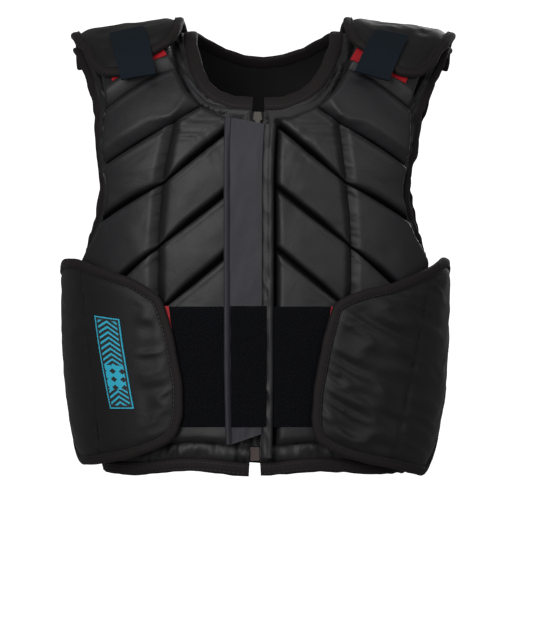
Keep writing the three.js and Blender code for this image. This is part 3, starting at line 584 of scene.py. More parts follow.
def boxes(centre: Array, axes: tuple[Array, Array, Array]) -> tuple[Array, NDArray[np.int64]]:
    """Small boxes: each corner is the middle plus or minus the three half axes.

    Args:
        centre: Their middles, (n, 3).
        axes: Half their length, width and height as vectors, each (n, 3).

    Returns:
        Their corners, (8n, 3), and their faces.
    """
    shape = sum(BOX_CORNERS[None, :, i, None] * axis[:, None] for i, axis in enumerate(axes))
    points = (centre[:, None, :] + shape).reshape(-1, 3)
    quads = (np.arange(len(centre))[:, None, None] * len(BOX_CORNERS) + BOX_FACES).reshape(-1, 4)
    return points, quads


def mesh_object(
    name: str, points: Array, quads: NDArray[np.int64], tris: NDArray[np.int64], uv: Array,
    material: bpy.types.Material, sharp: float = 55.0,
) -> bpy.types.Object:
    """A mesh object at the origin.

    Args:
        name: Its name.
        points: Points in millimetres.
        quads: Four-cornered faces.
        tris: Three-cornered faces, which may be empty.
        uv: One coordinate for each point.
        material: Its finish.
        sharp: Edges above this angle, in degrees, are shaded sharp.

    Returns:
        The object, in the scene.
    """
    mesh = bpy.data.meshes.new(name)
    loops = np.concatenate([quads.ravel(), tris.ravel()]).astype(np.int32)
    starts = np.concatenate([np.arange(len(quads)) * 4, len(quads) * 4 + np.arange(len(tris)) * 3])
    mesh.vertices.add(len(points))
    mesh.vertices.foreach_set("co", (points * MM).astype(np.float32).ravel())
    mesh.loops.add(len(loops))
    mesh.loops.foreach_set("vertex_index", loops)
    mesh.polygons.add(len(starts))
    mesh.polygons.foreach_set("loop_start", starts.astype(np.int32))
    layer = mesh.uv_layers.new(name="cloth")
    layer.data.foreach_set("uv", uv[loops].astype(np.float32).ravel())
    mesh.update(calc_edges=True)
    mesh.validate()
    mesh.materials.append(material)
    mesh.shade_smooth()
    mesh.set_sharp_from_angle(angle=math.radians(sharp))
    obj = bpy.data.objects.new(name, mesh)
    bpy.context.scene.collection.objects.link(obj)
    return obj


@dataclass
class Line:
    """A line on the garment with a normal at each point, evenly spaced."""

    points: Array
    normals: Array
    closed: bool = False

    @classmethod
    def along(
        cls, angle: Array, height: Array, lift: Array | float, closed: bool = False,
        step: float = 2.0, soft: float = 6.0,
    ) -> "Line":
        """A line through places on the torso.

        Args:
            angle: Degrees at each place.
            height: Height at each place.
            lift: Distance outside the torso.
            closed: Whether it runs back to its start.
            step: Spacing of its points.
            soft: Length over which corners are rounded.

        Returns:
            The line.
        """
        lifts = np.broadcast_to(np.asarray(lift, float), np.shape(angle))
        points = TORSO.off(angle, height, lifts)
        normals = TORSO.normal(angle, height)
        if closed:
            points, normals = np.vstack([points, points[:1]]), np.vstack([normals, normals[:1]])
        gaps = np.linalg.norm(np.diff(points, axis=0), axis=1)
        keep = np.concatenate([[True], gaps > 1e-6])
        points, normals = points[keep], normals[keep]
        at = np.concatenate([[0], np.cumsum(np.linalg.norm(np.diff(points, axis=0), axis=1))])
        count = max(int(round(at[-1] / step)), 4)
        even = np.linspace(0, at[-1], count + 1)
        spread = [np.interp(even, at, column) for column in (*points.T, *normals.T)]
        data = np.stack(spread, axis=1)
        if closed:
            data = data[:-1]
        reach = max(int(round(soft / step)), 1)
        bell = np.hanning(2 * reach + 3)[1:-1]
        bell = bell / bell.sum()
        if closed:
            wide = np.vstack([data[-reach:], data, data[:reach]])
        else:
            before = 2 * data[:1] - data[reach:0:-1]
            after = 2 * data[-1:] - data[-2 : -reach - 2 : -1]
            wide = np.vstack([before, data, after])
        data = np.stack([np.convolve(column, bell, mode="valid") for column in wide.T], axis=1)
        normals = data[:, 3:] / np.linalg.norm(data[:, 3:], axis=1, keepdims=True)
        return cls(data[:, :3], normals, closed)

    def ways(self) -> Array:
        """Unit directions along the line."""
        if self.closed:
            way = np.roll(self.points, -1, axis=0) - np.roll(self.points, 1, axis=0)
        else:
            way = np.gradient(self.points, axis=0)
        return way / np.linalg.norm(way, axis=1, keepdims=True)

    def beside(self, turn: float) -> Array:
        """Unit directions beside the line, in the plane of the cloth."""
        side = np.cross(self.ways(), self.normals) * turn
        return side / np.linalg.norm(side, axis=1, keepdims=True)

    def lengths(self) -> Array:
        """Millimetres along the line at each point."""
        gaps = np.linalg.norm(np.diff(self.points, axis=0), axis=1)
        return np.concatenate([[0], np.cumsum(gaps)])


@dataclass(frozen=True)
class Tape:
    """The section of a folded binding: its width, thickness and how far it laps the edge."""

    width: float
    thickness: float
    lap: float = 2.0
    bulge: float = 0.0
    waves: float = 0.35
    seed: int = 3

    def build(
        self, name: str, line: Line, turn: float, material: bpy.types.Material
    ) -> bpy.types.Object:
        """A band swept along a line.

        The section is a flattened oval with a ridge where the tape turns; noise along the
        line makes it wavy as sewn tape is.

        Args:
            name: Its name.
            line: The sewn edge.
            turn: 1 or -1, the side of the edge that it lies on.
            material: Its finish.

        Returns:
            The band, closed at its ends.
        """
        count = 18
        turns = np.linspace(0, 2 * math.pi, count, endpoint=False)
        half = (self.width + self.lap) / 2
        power = 2 / 2.7
        cosine, sine = np.cos(turns), np.sin(turns)
        across = (self.width - self.lap) / 2 + half * np.sign(cosine) * np.abs(cosine) ** power
        out = self.thickness / 2 * np.sign(sine) * np.abs(sine) ** power
        out = out + self.bulge * np.clip(sine, 0, 1)
        at = line.lengths()
        noise = Noise(self.seed)
        wave = noise(at / 9.0, 0.5) * self.waves + noise(at / 31.0, 7.5) * self.waves * 1.6
        lift = noise(at / 13.0, 21.5) * self.waves * 0.8
        pinch = 1 + 0.05 * noise(at / 6.0, 40.5)
        beside = line.beside(turn)[:, None, :]
        normal = line.normals[:, None, :]
        edge = ease((across + self.lap) / half / 2)
        side_by = across[None, :] + wave[:, None] * edge[None, :]
        out_by = out[None, :] * pinch[:, None] + lift[:, None] * edge[None, :]
        points = line.points[:, None, :] + beside * side_by[..., None] + normal * out_by[..., None]
        rows = len(at)
        spans = rows if line.closed else rows - 1
        here = np.arange(spans)[:, None] * count
        there = ((np.arange(spans) + 1) % rows)[:, None] * count
        one, two = np.arange(count)[None, :], ((np.arange(count) + 1) % count)[None, :]
        quads = np.stack([here + one, here + two, there + two, there + one], axis=-1).reshape(-1, 4)
        tris = NO_TRIS
        if not line.closed:
            fan = np.arange(1, count - 1)
            last = (rows - 1) * count
            start = np.stack([np.zeros_like(fan), fan + 1, fan], axis=1)
            end = np.stack([np.full_like(fan, last), last + fan, last + fan + 1], axis=1)
            tris = np.concatenate([start, end])
        flat = points.reshape(-1, 3)
        a, b, d = flat[quads[:, 0]], flat[quads[:, 1]], flat[quads[:, 3]]
        centre = np.repeat(points.mean(axis=1)[:spans], count, axis=0)
        if (np.cross(b - a, d - a) * (a - centre)).sum() < 0:
            quads, tris = quads[:, ::-1], tris[:, ::-1]
        around = np.concatenate([[0], np.cumsum(np.hypot(np.diff(across), np.diff(out)))])
        uv = np.stack(np.broadcast_arrays(around[None, :], at[:, None]), axis=-1) * MM
        return mesh_object(name, flat, quads, tris, uv.reshape(-1, 2), material)


def stitch_row(
    name: str, line: Line, turn: float, across: float, out: float, material: bpy.types.Material,
    pitch: float = 4.6,
) -> bpy.types.Object:
    """A row of lockstitches beside a line, as small boxes in one mesh.

    Args:
        name: Its name.
        line: The edge that the row follows.
        turn: The side of the edge, 1 or -1.
        across: Distance beside the edge.
        out: Height above the line.
        material: The thread.
        pitch: Spacing of the stitches.

    Returns:
        One object with all the stitches.
    """
    at = line.lengths()
    places = np.arange(pitch, at[-1] - pitch / 2, pitch)

    def read(values: Array) -> Array:
        """Values at the stitches' places."""
        return np.stack([np.interp(places, at, column) for column in values.T], axis=1)

    way, normal, beside = read(line.ways()), read(line.normals), read(line.beside(turn))
    centre = read(line.points) + beside * across + normal * out
    long, wide, high = pitch * 0.34, 0.42, 0.34
    points, quads = boxes(centre, (way * long, beside * wide, normal * high))
    return mesh_object(name, points, quads, NO_TRIS, points[:, :2] * MM, material, 30.0)


def srgb(code: str) -> tuple[float, float, float, float]:
    """Linear colour of an sRGB hex code such as 1a2b3c."""
    parts = [int(code[i : i + 2], 16) / 255 for i in (0, 2, 4)]
    linear = [p / 12.92 if p <= 0.04045 else ((p + 0.055) / 1.055) ** 2.4 for p in parts]
    return (linear[0], linear[1], linear[2], 1.0)


class Weave(Enum):
    """How a cloth's surface is made."""

    PLAIN = "plain"
    RIBS = "ribs"
    PILE = "pile"


@dataclass(frozen=True)
class Finish:
    """A cloth finish.

    dark and light are its sRGB colours, period is the size of its weave and relief the depth
    of it, both in millimetres, gloss is the specular level and crumple the height in
    millimetres of the small dents in the cloth. Real threads of 0.1 to 0.3 mm wouldn't show,
    so each period is drawn as coarse as it has to be.
    """

    name: str
    dark: str
    light: str
    roughness: float
    weave: Weave
    period: float
    relief: float
    sheen: float = 0.0
    gloss: float = 0.3
    crumple: float = 0.0


# Satin-woven nylon drawn over foam: near black, with broad soft highlights
SATIN = Finish("satin_nylon", "0a0a0c", "1e1e21", 0.54, Weave.PLAIN, 0.5, 0.05, 0.02, 0.34, 0.3)
# Plain-woven nylon of the flaps: duller, and dented by handling
FLAP_NYLON = Finish("flap_nylon", "0b0b0d", "161618", 0.55, Weave.PLAIN, 0.6, 0.07, 0.01, 0.24, 0.4)
# Folded polyester tape: ribbed and matt, a little browner than the nylon
BINDING = Finish("folded_binding_tape", "0d090a", "1a1415", 0.75, Weave.RIBS, 1.1, 0.12, 0.02, 0.2)
# Stiffened plain nylon: the palest cloth here, even and flat
PLACKET_CLOTH = Finish(
    "placket_nylon", "1e1e22", "303036", 0.6, Weave.PLAIN, 0.7, 0.08, 0.03, 0.28, 0.3
)
# Knitted loop pile: swallows light, with grey specks where loops stand up
LOOP_PILE = Finish("loop_pile", "030304", "1c1e24", 0.95, Weave.PILE, 1.3, 0.45, 0.0, 0.08)
# Woven hook webbing: dark blue and matt, with fine ribs
NAVY = Finish("navy_hook_webbing", "070c11", "111b24", 0.75, Weave.RIBS, 1.5, 0.2, 0.01, 0.12)
# Woven red tape: a full colour with a little sheen
RED = Finish("red_woven_tape", "740410", "b00c1a", 0.6, Weave.PLAIN, 1.0, 0.15, 0.1)
# Ribbed polyester zip tape: dull black
ZIP_TAPE = Finish("zip_tape", "0f0f11", "1a1a1d", 0.8, Weave.RIBS, 0.9, 0.12)
# Bonded thread: smooth enough that single stitches catch the light
THREAD = Finish("black_thread", "0c0c0d", "1b1b1d", 0.5, Weave.PLAIN, 0.5, 0.05)


class Materials:
    """Builds each procedural material once."""

    def __init__(self) -> None:
        """Starts with none made."""
        self.made: dict[str, bpy.types.Material] = {}

    @staticmethod
    def node(
        tree: bpy.types.NodeTree, kind: str, links: dict | None = None, **values: object
    ) -> bpy.types.Node:
        """Adds a node.

        Args:
            tree: Where to add it.
            kind: Its type.
            links: Input names or numbers against the sockets that feed them.
            values: Attributes, and inputs by name with spaces written as _, as in_Name.

        Returns:
            The node.
        """
        made = tree.nodes.new(kind)
        for key, value in values.items():
            if key.startswith("in_"):
                name = key[3:].replace("_", " ")
                made.inputs[int(name) if name.isdigit() else name].default_value = value
            else:
                setattr(made, key, value)
        for key, socket in (links or {}).items():
            tree.links.new(socket, made.inputs[key])
        return made

    def start(self, name: str) -> tuple[bpy.types.Material, bpy.types.NodeTree, bpy.types.Node]:
        """A material with a plain principled shader on its output.

        Args:
            name: Its name.

        Returns:
            The material, its tree and its shader.
        """
        material = bpy.data.materials.new(name)
        material.use_nodes = True
        tree = material.node_tree
        tree.nodes.clear()
        shader = self.node(tree, "ShaderNodeBsdfPrincipled")
        self.node(tree, "ShaderNodeOutputMaterial", {"Surface": shader.outputs["BSDF"]})
        self.made[name] = material
        return material, tree, shader

    def cloth(self, finish: Finish) -> bpy.types.Material:
        """A cloth: weave relief, slow colour change, a noisy roughness and painted shade in the sewn
        grooves.

        Args:
            finish: What it is.

        Returns:
            The material, built on first use.
        """
        if finish.name in self.made:
            return self.made[finish.name]
        material, tree, shader = self.start(finish.name)
        place = self.node(tree, "ShaderNodeTexCoord").outputs["UV"]
        # Blender's wave texture repeats each pi / 10 at scale 1
        scale = 0.31416 / (finish.period * MM)
        slow = self.node(
            tree, "ShaderNodeTexNoise", {"Vector": place}, in_Scale=38.0, in_Detail=7.0,
            in_Roughness=0.68,
        ).outputs["Fac"]
        if finish.weave is Weave.PILE:
            speck = self.node(
                tree, "ShaderNodeTexNoise", {"Vector": place},
                in_Scale=1 / (finish.period * MM), in_Detail=4.0, in_Roughness=0.75,
            ).outputs["Fac"]
            weave = self.node(
                tree, "ShaderNodeMapRange", {"Value": speck}, in_From_Min=0.46, in_From_Max=0.74
            ).outputs["Result"]
        else:
            warp = self.wave(tree, place, scale, "X")
            weave = self.wave(tree, place, scale, "Y")
            if finish.weave is Weave.PLAIN:
                weave = self.node(
                    tree, "ShaderNodeMath", {0: warp, 1: weave}, operation="MULTIPLY"
                ).outputs[0]
        shade = self.node(
            tree, "ShaderNodeMath", {0: slow, 1: weave}, operation="MULTIPLY_ADD", in_2=0.25
        )
        if finish.weave is Weave.PILE:
            shade = self.node(tree, "ShaderNodeMath", {0: weave}, operation="MULTIPLY", in_1=1.0)
        colour = self.node(
            tree, "ShaderNodeMix", {0: shade.outputs[0]}, data_type="RGBA",
            in_6=srgb(finish.dark), in_7=srgb(finish.light),
        ).outputs[2]
        rough = self.node(
            tree, "ShaderNodeMapRange", {"Value": slow},
            in_To_Min=finish.roughness - 0.05, in_To_Max=finish.roughness + 0.07,
        ).outputs["Result"]
        crumple = self.node(
            tree, "ShaderNodeTexNoise", {"Vector": place}, in_Scale=95.0, in_Detail=4.0,
            in_Roughness=0.55, in_Distortion=0.8,
        ).outputs["Fac"]
        soft = self.node(
            tree, "ShaderNodeBump", {"Height": crumple}, in_Strength=1.0,
            in_Distance=max(finish.crumple, 0.01) * MM,
        ).outputs["Normal"]
        relief = self.node(
            tree, "ShaderNodeBump", {"Height": weave, "Normal": soft},
            in_Strength=min(finish.relief * 4, 1.0), in_Distance=finish.relief * MM,
        ).outputs["Normal"]
        # Painted shade: where the groove attribute is 1, the colour goes to near black and the gloss to
        # none, as in a groove's shadow
        groove = self.node(tree, "ShaderNodeAttribute", attribute_name="groove").outputs["Fac"]
        colour = self.node(
            tree, "ShaderNodeMix", {0: groove, 6: colour}, data_type="RGBA", in_7=srgb("010101")
        ).outputs[2]
        gloss = self.node(
            tree, "ShaderNodeMapRange", {"Value": groove}, in_To_Min=finish.gloss, in_To_Max=0.0
        ).outputs["Result"]
        links = {
            "Base Color": colour, "Roughness": rough, "Normal": relief, "Specular IOR Level": gloss
        }
        for name, socket in links.items():
            tree.links.new(socket, shader.inputs[name])
        shader.inputs["Sheen Weight"].default_value = finish.sheen
        shader.inputs["Sheen Roughness"].default_value = 0.4
        return material

    def wave(
        self, tree: bpy.types.NodeTree, place: bpy.types.NodeSocket, scale: float, axis: str
    ) -> bpy.types.NodeSocket:
        """Parallel ribs across one direction of the cloth.

        Args:
            tree: Where to add them.
            place: The cloth's coordinates.
            scale: Their scale.
            axis: X or Y.

        Returns:
            Their height.
        """
        return self.node(
            tree, "ShaderNodeTexWave", {"Vector": place},
            bands_direction=axis, in_Scale=scale, in_Distortion=0.6, in_Detail=1.0,
        ).outputs["Fac"]

    def label(self) -> bpy.types.Material:
        """A woven label: teal slanting bars, a band of diamonds and a frame on black.

        Damask-woven polyester is matt, with its motif slightly raised.
        """
        material, tree, shader = self.start("woven_label")
        place = self.node(tree, "ShaderNodeTexCoord").outputs["UV"]
        split = self.node(tree, "ShaderNodeSeparateXYZ", {0: place})

        def maths(operation: str, first: object, second: object = 0.0) -> bpy.types.NodeSocket:
            """One step of a sum whose terms are sockets or numbers."""
            made = self.node(tree, "ShaderNodeMath", operation=operation)
            for i, value in enumerate((first, second)):
                if isinstance(value, (int, float)):
                    made.inputs[i].default_value = value
                else:
                    tree.links.new(value, made.inputs[i])
            return made.outputs[0]

        u, v = split.outputs[0], split.outputs[1]
        sideways = maths("ABSOLUTE", maths("SUBTRACT", u, 0.5))
        upward = maths("ABSOLUTE", maths("SUBTRACT", v, 0.5))
        frame_line = maths(
            "MAXIMUM", maths("GREATER_THAN", sideways, 0.455), maths("GREATER_THAN", upward, 0.487)
        )
        within = maths(
            "MULTIPLY", maths("LESS_THAN", sideways, 0.385), maths("LESS_THAN", upward, 0.465)
        )
        band = maths("LESS_THAN", maths("ABSOLUTE", maths("SUBTRACT", v, 0.34)), 0.135)
        cell_u = maths("ABSOLUTE", maths("SUBTRACT", maths("FRACT", maths("MULTIPLY", u, 2.6)), 0.5))
        cell_v = maths("ABSOLUTE", maths("SUBTRACT", maths("FRACT", maths("MULTIPLY", v, 11.0)), 0.5))
        diamonds = maths("GREATER_THAN", maths("ADD", cell_u, cell_v), 0.36)
        slant = maths("ADD", maths("MULTIPLY", v, 17.0), maths("MULTIPLY", sideways, 3.2))
        stripes = maths("LESS_THAN", maths("FRACT", slant), 0.42)
        inside = maths(
            "ADD",
            maths("MULTIPLY", band, diamonds),
            maths("MULTIPLY", maths("SUBTRACT", 1.0, band), stripes),
        )
        motif = maths("MAXIMUM", frame_line, maths("MULTIPLY", within, inside))
        grain = self.node(
            tree, "ShaderNodeTexNoise", {"Vector": place}, in_Scale=60.0, in_Detail=2.0
        ).outputs["Fac"]
        teal = self.node(
            tree, "ShaderNodeMix", {0: grain}, data_type="RGBA",
            in_6=srgb("14809a"), in_7=srgb("23acc6"),
        ).outputs[2]
        colour = self.node(
            tree, "ShaderNodeMix", {0: motif, 7: teal}, data_type="RGBA", in_6=srgb("131316")
        ).outputs[2]
        relief = self.node(
            tree, "ShaderNodeBump", {"Height": motif}, in_Strength=0.4, in_Distance=0.0002
        ).outputs["Normal"]
        tree.links.new(colour, shader.inputs["Base Color"])
        tree.links.new(relief, shader.inputs["Normal"])
        shader.inputs["Roughness"].default_value = 0.65
        return material

    def hard(self, name: str, code: str, roughness: float, metallic: float) -> bpy.types.Material:
        """A plastic or metal with fine scuffs.

        Args:
            name: Its name.
            code: Its colour.
            roughness: Its mean roughness.
            metallic: 0 for plastic, near 1 for metal.

        Returns:
            The material, built on first use.
        """
        if name in self.made:
            return self.made[name]
        material, tree, shader = self.start(name)
        place = self.node(tree, "ShaderNodeTexCoord").outputs["Object"]
        scuffs = self.node(
            tree, "ShaderNodeTexNoise", {"Vector": place}, in_Scale=900.0, in_Detail=3.0
        ).outputs["Fac"]
        rough = self.node(
            tree, "ShaderNodeMapRange", {"Value": scuffs},
            in_To_Min=roughness - 0.06, in_To_Max=roughness + 0.1,
        ).outputs["Result"]
        tree.links.new(rough, shader.inputs["Roughness"])
        shader.inputs["Base Color"].default_value = srgb(code)
        shader.inputs["Metallic"].default_value = metallic
        return material


def bell(distance: Array, width: float) -> Array:
    """A rounded bump, exp(-(d / w)^2)."""
    return np.exp(-((distance / width) ** 2))


def joined_share(shares: list[Array]) -> Array:
    """A rounded minimum of shares, 1 - (sum of (1 - s)^3)^(1/3), not below 0."""
    return np.clip(1 - sum((1 - share) ** 3 for share in shares) ** (1 / 3), 0, 1)


def hem_height(angle: Array) -> Array:
    """Lower edge of the cloth above the hem binding; it rises below each front pad."""
    side = np.abs(np.asarray(angle, float)) % 360
    from_zip = np.minimum(side, 360 - side)
    share = np.clip(from_zip / HEM_ARCH, 0, 1)
    return HEM_EDGE + HEM_LIFT * np.where(from_zip < HEM_ARCH, np.sin(share * math.pi) ** 2, 0)


def pad_thickness(level: Array) -> Array:
    """Full thickness of the pads, thinner over the shoulders."""
    from_front = np.where(level > 2, 4 - level, level)
    low, high = THINNING
    return mix(PAD, SHOULDER_PAD, ease((from_front - low) / (high - low)))


def angle_at(sideways: float | Array) -> Array:
    """Angle of a place that lies a sideways distance from the zip line."""
    share = np.abs(np.asarray(sideways, float)) / CHEST_HALF
    across = np.degrees(np.arctan2(share, (1 - share**ROUNDNESS) ** (1 / ROUNDNESS)))
    return np.sign(sideways) * across


def row_heights(levels: tuple[float, ...]) -> tuple[float, ...]:
    """Heights along the surface of a row of levels."""
    return tuple(float(level_height(level)) for level in levels)


def along_edge(grid: Array, edge: tuple) -> Array:
    """Values of a grid along an edge that is given as slices, in order."""
    return np.concatenate([grid[part] for part in edge])


def quilt_rows(
    lines: list[tuple[float, ...]], fine: float, coarse: float, share: float = 1.0
) -> tuple[Array, list[int]]:
    """Heights of a panel's rows of points, close together at its channels.

    Args:
        lines: Heights of each line at the panel's guides, from the lower edge up.
        fine: Step beside a line.
        coarse: Step half-way between two lines.
        share: Part of the greatest distance between two lines that the steps fill.

    Returns:
        Rows of heights, one for each guide, and the number of each line's row.
    """
    parts: list[Array] = []
    numbers = [0]
    for low, high in zip(lines[:-1], lines[1:]):
        length = max(abs(end - start) for start, end in zip(low, high)) * share
        shares = fine_steps(length, fine, coarse, INNER_STEP)[:, None]
        part = mix(np.array(low)[None], np.array(high)[None], shares)
        parts.append(part if not parts else part[1:])
        numbers.append(numbers[-1] + len(shares) - 1)
    return np.concatenate(parts), numbers


@dataclass(frozen=True)
class Wall:
    """A channel's sides: widths at the pads above and below, the upper one's roundness and
    the width of the painted shade on its upper side; a hard wall has a ridge on top."""

    above: float
    below: float
    power: float = 1.7
    dark: float = 4.6
    ridge: float = 0.0


class Quilt:
    """Thickness of a quilted panel from its distances to seams and edges."""

    def __init__(self, cloth: Cloth, hand: int, seed: int) -> None:
        """Starts with a plain pad.

        Args:
            cloth: The panel's cloth, with its places.
            hand: The sign of X of its side.
            seed: Seed of its gathers.
        """
        self.base = cloth.base()
        self.u, self.v = cloth.measures(self.base)
        self.hand = hand
        self.seed = seed
        self.hollows: list[Array] = []
        self.relief = np.zeros(self.u.shape)
        self.seam = np.full(self.u.shape, 1e3)
        # Painted shade of the channels and valleys, 1 where it is darkest
        self.dark = np.zeros(self.u.shape)

    def distance(self, where: tuple | int) -> Array:
        """Distance of each place from a row, a column or a choice of them."""
        return nearest(self.base, self.base[where])

    def channel(self, row: int, wall: Wall, crossing: Array) -> None:
        """A sewn channel along a row of the grid.

        The sides rise as rounded_rise of the distance; near a crossing they are narrower.

        Args:
            row: Number of the row.
            wall: Widths of its sides.
            crossing: Distance of each place from the nearest crossing seam.
        """
        distance = self.distance(row)
        above = (np.arange(self.u.shape[0]) > row)[:, None]
        narrow = 0.42 + 0.58 * ease(crossing / 32)
        width = np.where(above, wall.above, wall.below) * narrow
        share = distance / width
        rise = np.where(above, rounded_rise(share, wall.power), rounded_rise(share, 2.4))
        self.hollows.append(rise)
        # Painted shade: a band along the channel, wider on the upper pad's side, where the groove lies
        # in shadow
        depth = distance / np.where(above, wall.dark * narrow, 1.5)
        self.dark = np.maximum(self.dark, 0.9 * ease((1.5 - depth) / 0.9))
        ridge = np.where(above, bell(distance - width, 1.6), 0.0)
        self.relief = self.relief + wall.ridge * ridge
        self.seam = np.minimum(self.seam, distance)
        gathers = Noise(self.seed + row)(self.u / 4.2, row + 0.5) * bell(distance, 8)
        lip = np.where(above, 0.0, 0.7 * bell(distance - wall.below - 1.2, 1.8))
        self.relief = self.relief + 0.3 * gathers + lip

    def valley(self, distance: Array, width: float, depth: float, fade: Array) -> None:
        """A soft stitched valley with fine puckers across it.

        Args:
            distance: Distance from its line.
            width: Half its width.
            depth: Share of the pad's thickness that it takes.
            fade: 1 where it is sewn, 0 where it has ended.
        """
        rise = 0.12 * rounded_rise(distance / 2.2, 1.5) + 0.88 * ease(distance / width)
        self.hollows.append(1 - fade * depth * (1 - rise))
        pucker = Noise(self.seed + 70)(self.u / 9.0, self.v / 3.0)
        deep = Noise(self.seed + 71)(self.u / 40.0, self.v / 17.0)
        # Painted shade along the valley's stitched line
        self.dark = np.maximum(self.dark, 0.45 * fade * bell(distance, 4.0))
        self.relief = self.relief + fade * bell(distance, 8.5) * (0.7 * pucker + 1.0 * deep)
        self.seam = np.where(fade > 0.5, np.minimum(self.seam, distance), self.seam)

    def margins(self, edge: Array, side: Array, side_margin: Array | float, hem: Array) -> Array:
        """Share of the pad's thickness that the flat margins allow.

        Args:
            edge: Distance from the zip or the neck.
            side: Distance from the side seam and the armhole.
            side_margin: Width of the margin there.
            hem: Distance from the lower edge.

        Returns:
            0 on the margins, 1 on the pad.
        """
        return joined_share([
            rounded_rise((edge - MARGIN) / PAD_SIDE, 1.8),
            rounded_rise((side - side_margin) / PAD_SIDE, 1.8),
            rounded_rise((hem - HEM_SEAM) / PAD_SIDE, 1.9),
        ])

    def thickness(self, level: Array, edges: Array, folds: tuple[Folds, ...]) -> Array:
        """Distance of the outer face from the torso.

        The sewn form and the margins join by a rounded minimum, -s log(exp(-a/s) + exp(-b/s)).

        Args:
            level: Level of each place.
            edges: Share of the pad's thickness that the margins allow.
            folds: Soft folds over the whole panel.

        Returns:
            Thickness in millimetres.
        """
        share = joined_share(self.hollows)
        full = pad_thickness(level)
        crown = 2.2 * (1 - np.exp(-self.seam / 16)) * (full / PAD)
        sewn = mix(CHANNEL_FLOOR * full / PAD, full - 1.2 + crown, share)
        flat = mix(EDGE, full + 1.5, edges)
        soft = 0.9
        joined = -soft * np.log(np.exp(-sewn / soft) + np.exp(-flat / soft))
        loose = all_folds(folds, self.u * self.hand, self.v)
        return joined + (self.relief + loose) * ease(edges * 2.5) * ease(0.25 + share)

    def creases(self, distance: Array) -> Array:
        """Creases that follow the bound edges, and the gathers that the binding makes.

        Args:
            distance: Distance from the nearest bound edge.

        Returns:
            Height in millimetres, 0 away from the margins.
        """
        along = Folds(2.8, 5.5, 34, 4 * self.hand, True, 23).at(distance, self.v)
        gathers = Folds(1.0, 30, 8.0, -24 * self.hand, False, 27).at(self.u, self.v)
        return (along + gathers) * bell(distance - 8, 8) * ease(distance / 3)

    def arm_puff(self, distance: Array) -> Array:
        """The crinkled strip between an armhole's binding and the pad.

        Args:
            distance: Distance from the armhole's edge.

        Returns:
            Height in millimetres: an arch across the strip, with crinkles on it.
        """
        bound = 3.5
        share = np.clip((distance - bound) / (ARM_SEAM - bound), 0, 1)
        coarse = Noise(36)(distance / 5.0, self.v / 5.5)
        crinkles = coarse + 0.7 * Noise(37)(distance / 3.2, self.v / 2.8)
        return np.sin(share * math.pi) ** 0.8 * (2.4 + 2.0 * crinkles)

    def hem_puff(self, distance: Array) -> Array:
        """The gathered tube of cloth between the hem binding and the lowest seam.

        Args:
            distance: Distance from the lower edge.

        Returns:
            Height in millimetres: an arch across the tube, with upright crinkles on it.
        """
        share = np.clip((distance - 1) / (HEM_SEAM - 1), 0, 1)
        slant = self.u + 0.25 * distance
        coarse = Noise(33)(slant / 4.6, distance / 26)
        crinkles = coarse + 0.7 * Noise(34)(slant / 2.6, distance / 18)
        return np.sin(share * math.pi) ** 0.7 * (3.6 + 2.6 * crinkles)


def outline_cloth(
    name: str, angle: Array, height: Array, inner: Array | float, thickness: Array | float
) -> Cloth:
    """A cloth of given thickness over a grid of places."""
    seat = np.broadcast_to(np.asarray(inner, float), angle.shape).copy()
    return Cloth(name, angle, height, seat, seat + thickness)


def patch_cloth(
    name: str, patch: Patch, hand: int, seat: float | None, thickness: float, size: tuple[int, int]
) -> Cloth:
    """A four-cornered piece.

    Args:
        name: Its name.
        patch: Its corners.
        hand: The sign of X.
        seat: Distance from the torso, or None to lie on the pads at the shoulder.
        thickness: Its thickness.
        size: Numbers of rows and columns.

    Returns:
        The cloth.
    """
    up, across = square_grid(*size)
    low, high, low_level, high_level = (
        mix(*ends, across) for ends in (patch.low, patch.high, patch.low_level, patch.high_level)
    )
    height = level_height(mix(low_level, high_level, up))
    inner = pad_thickness(height_level(height)) + PAD_GAP if seat is None else seat
    return outline_cloth(name, hand * mix(low, high, up), height, inner, thickness)


def square_grid(rows: int, columns: int) -> tuple[Array, Array]:
    """Shares from 0 to 1 up and across a grid of rows and columns."""
    up, across = np.linspace(0, 1, rows), np.linspace(0, 1, columns)
    return tuple(np.meshgrid(up, across, indexing="ij"))


@dataclass(frozen=True)
class Strip:
    """A strip beside the zip: sideways limits and the levels of its ends at each limit."""

    sideways: tuple[float, float]
    bottom: tuple[float, float]
    top: tuple[float, float]

    def cloth(self, name: str, inner: float, thickness: float, step: float = 2.0) -> Cloth:
        """The strip as a cloth.

        Args:
            name: Its name.
            inner: Distance of its inner face from the torso.
            thickness: Its thickness.
            step: Size of the grid's cells.

        Returns:
            The cloth.
        """
        low, high = self.sideways
        length = float(level_height(self.top[0]) - level_height(self.bottom[0]))
        rows, columns = (max(int(size / step), 2) + 1 for size in (length, abs(high - low)))
        up, across = square_grid(rows, columns)
        bottom, top = (level_height(mix(*ends, across)) for ends in (self.bottom, self.top))
        return outline_cloth(
            name, angle_at(mix(low, high, across)), mix(bottom, top, up), inner, thickness
        )


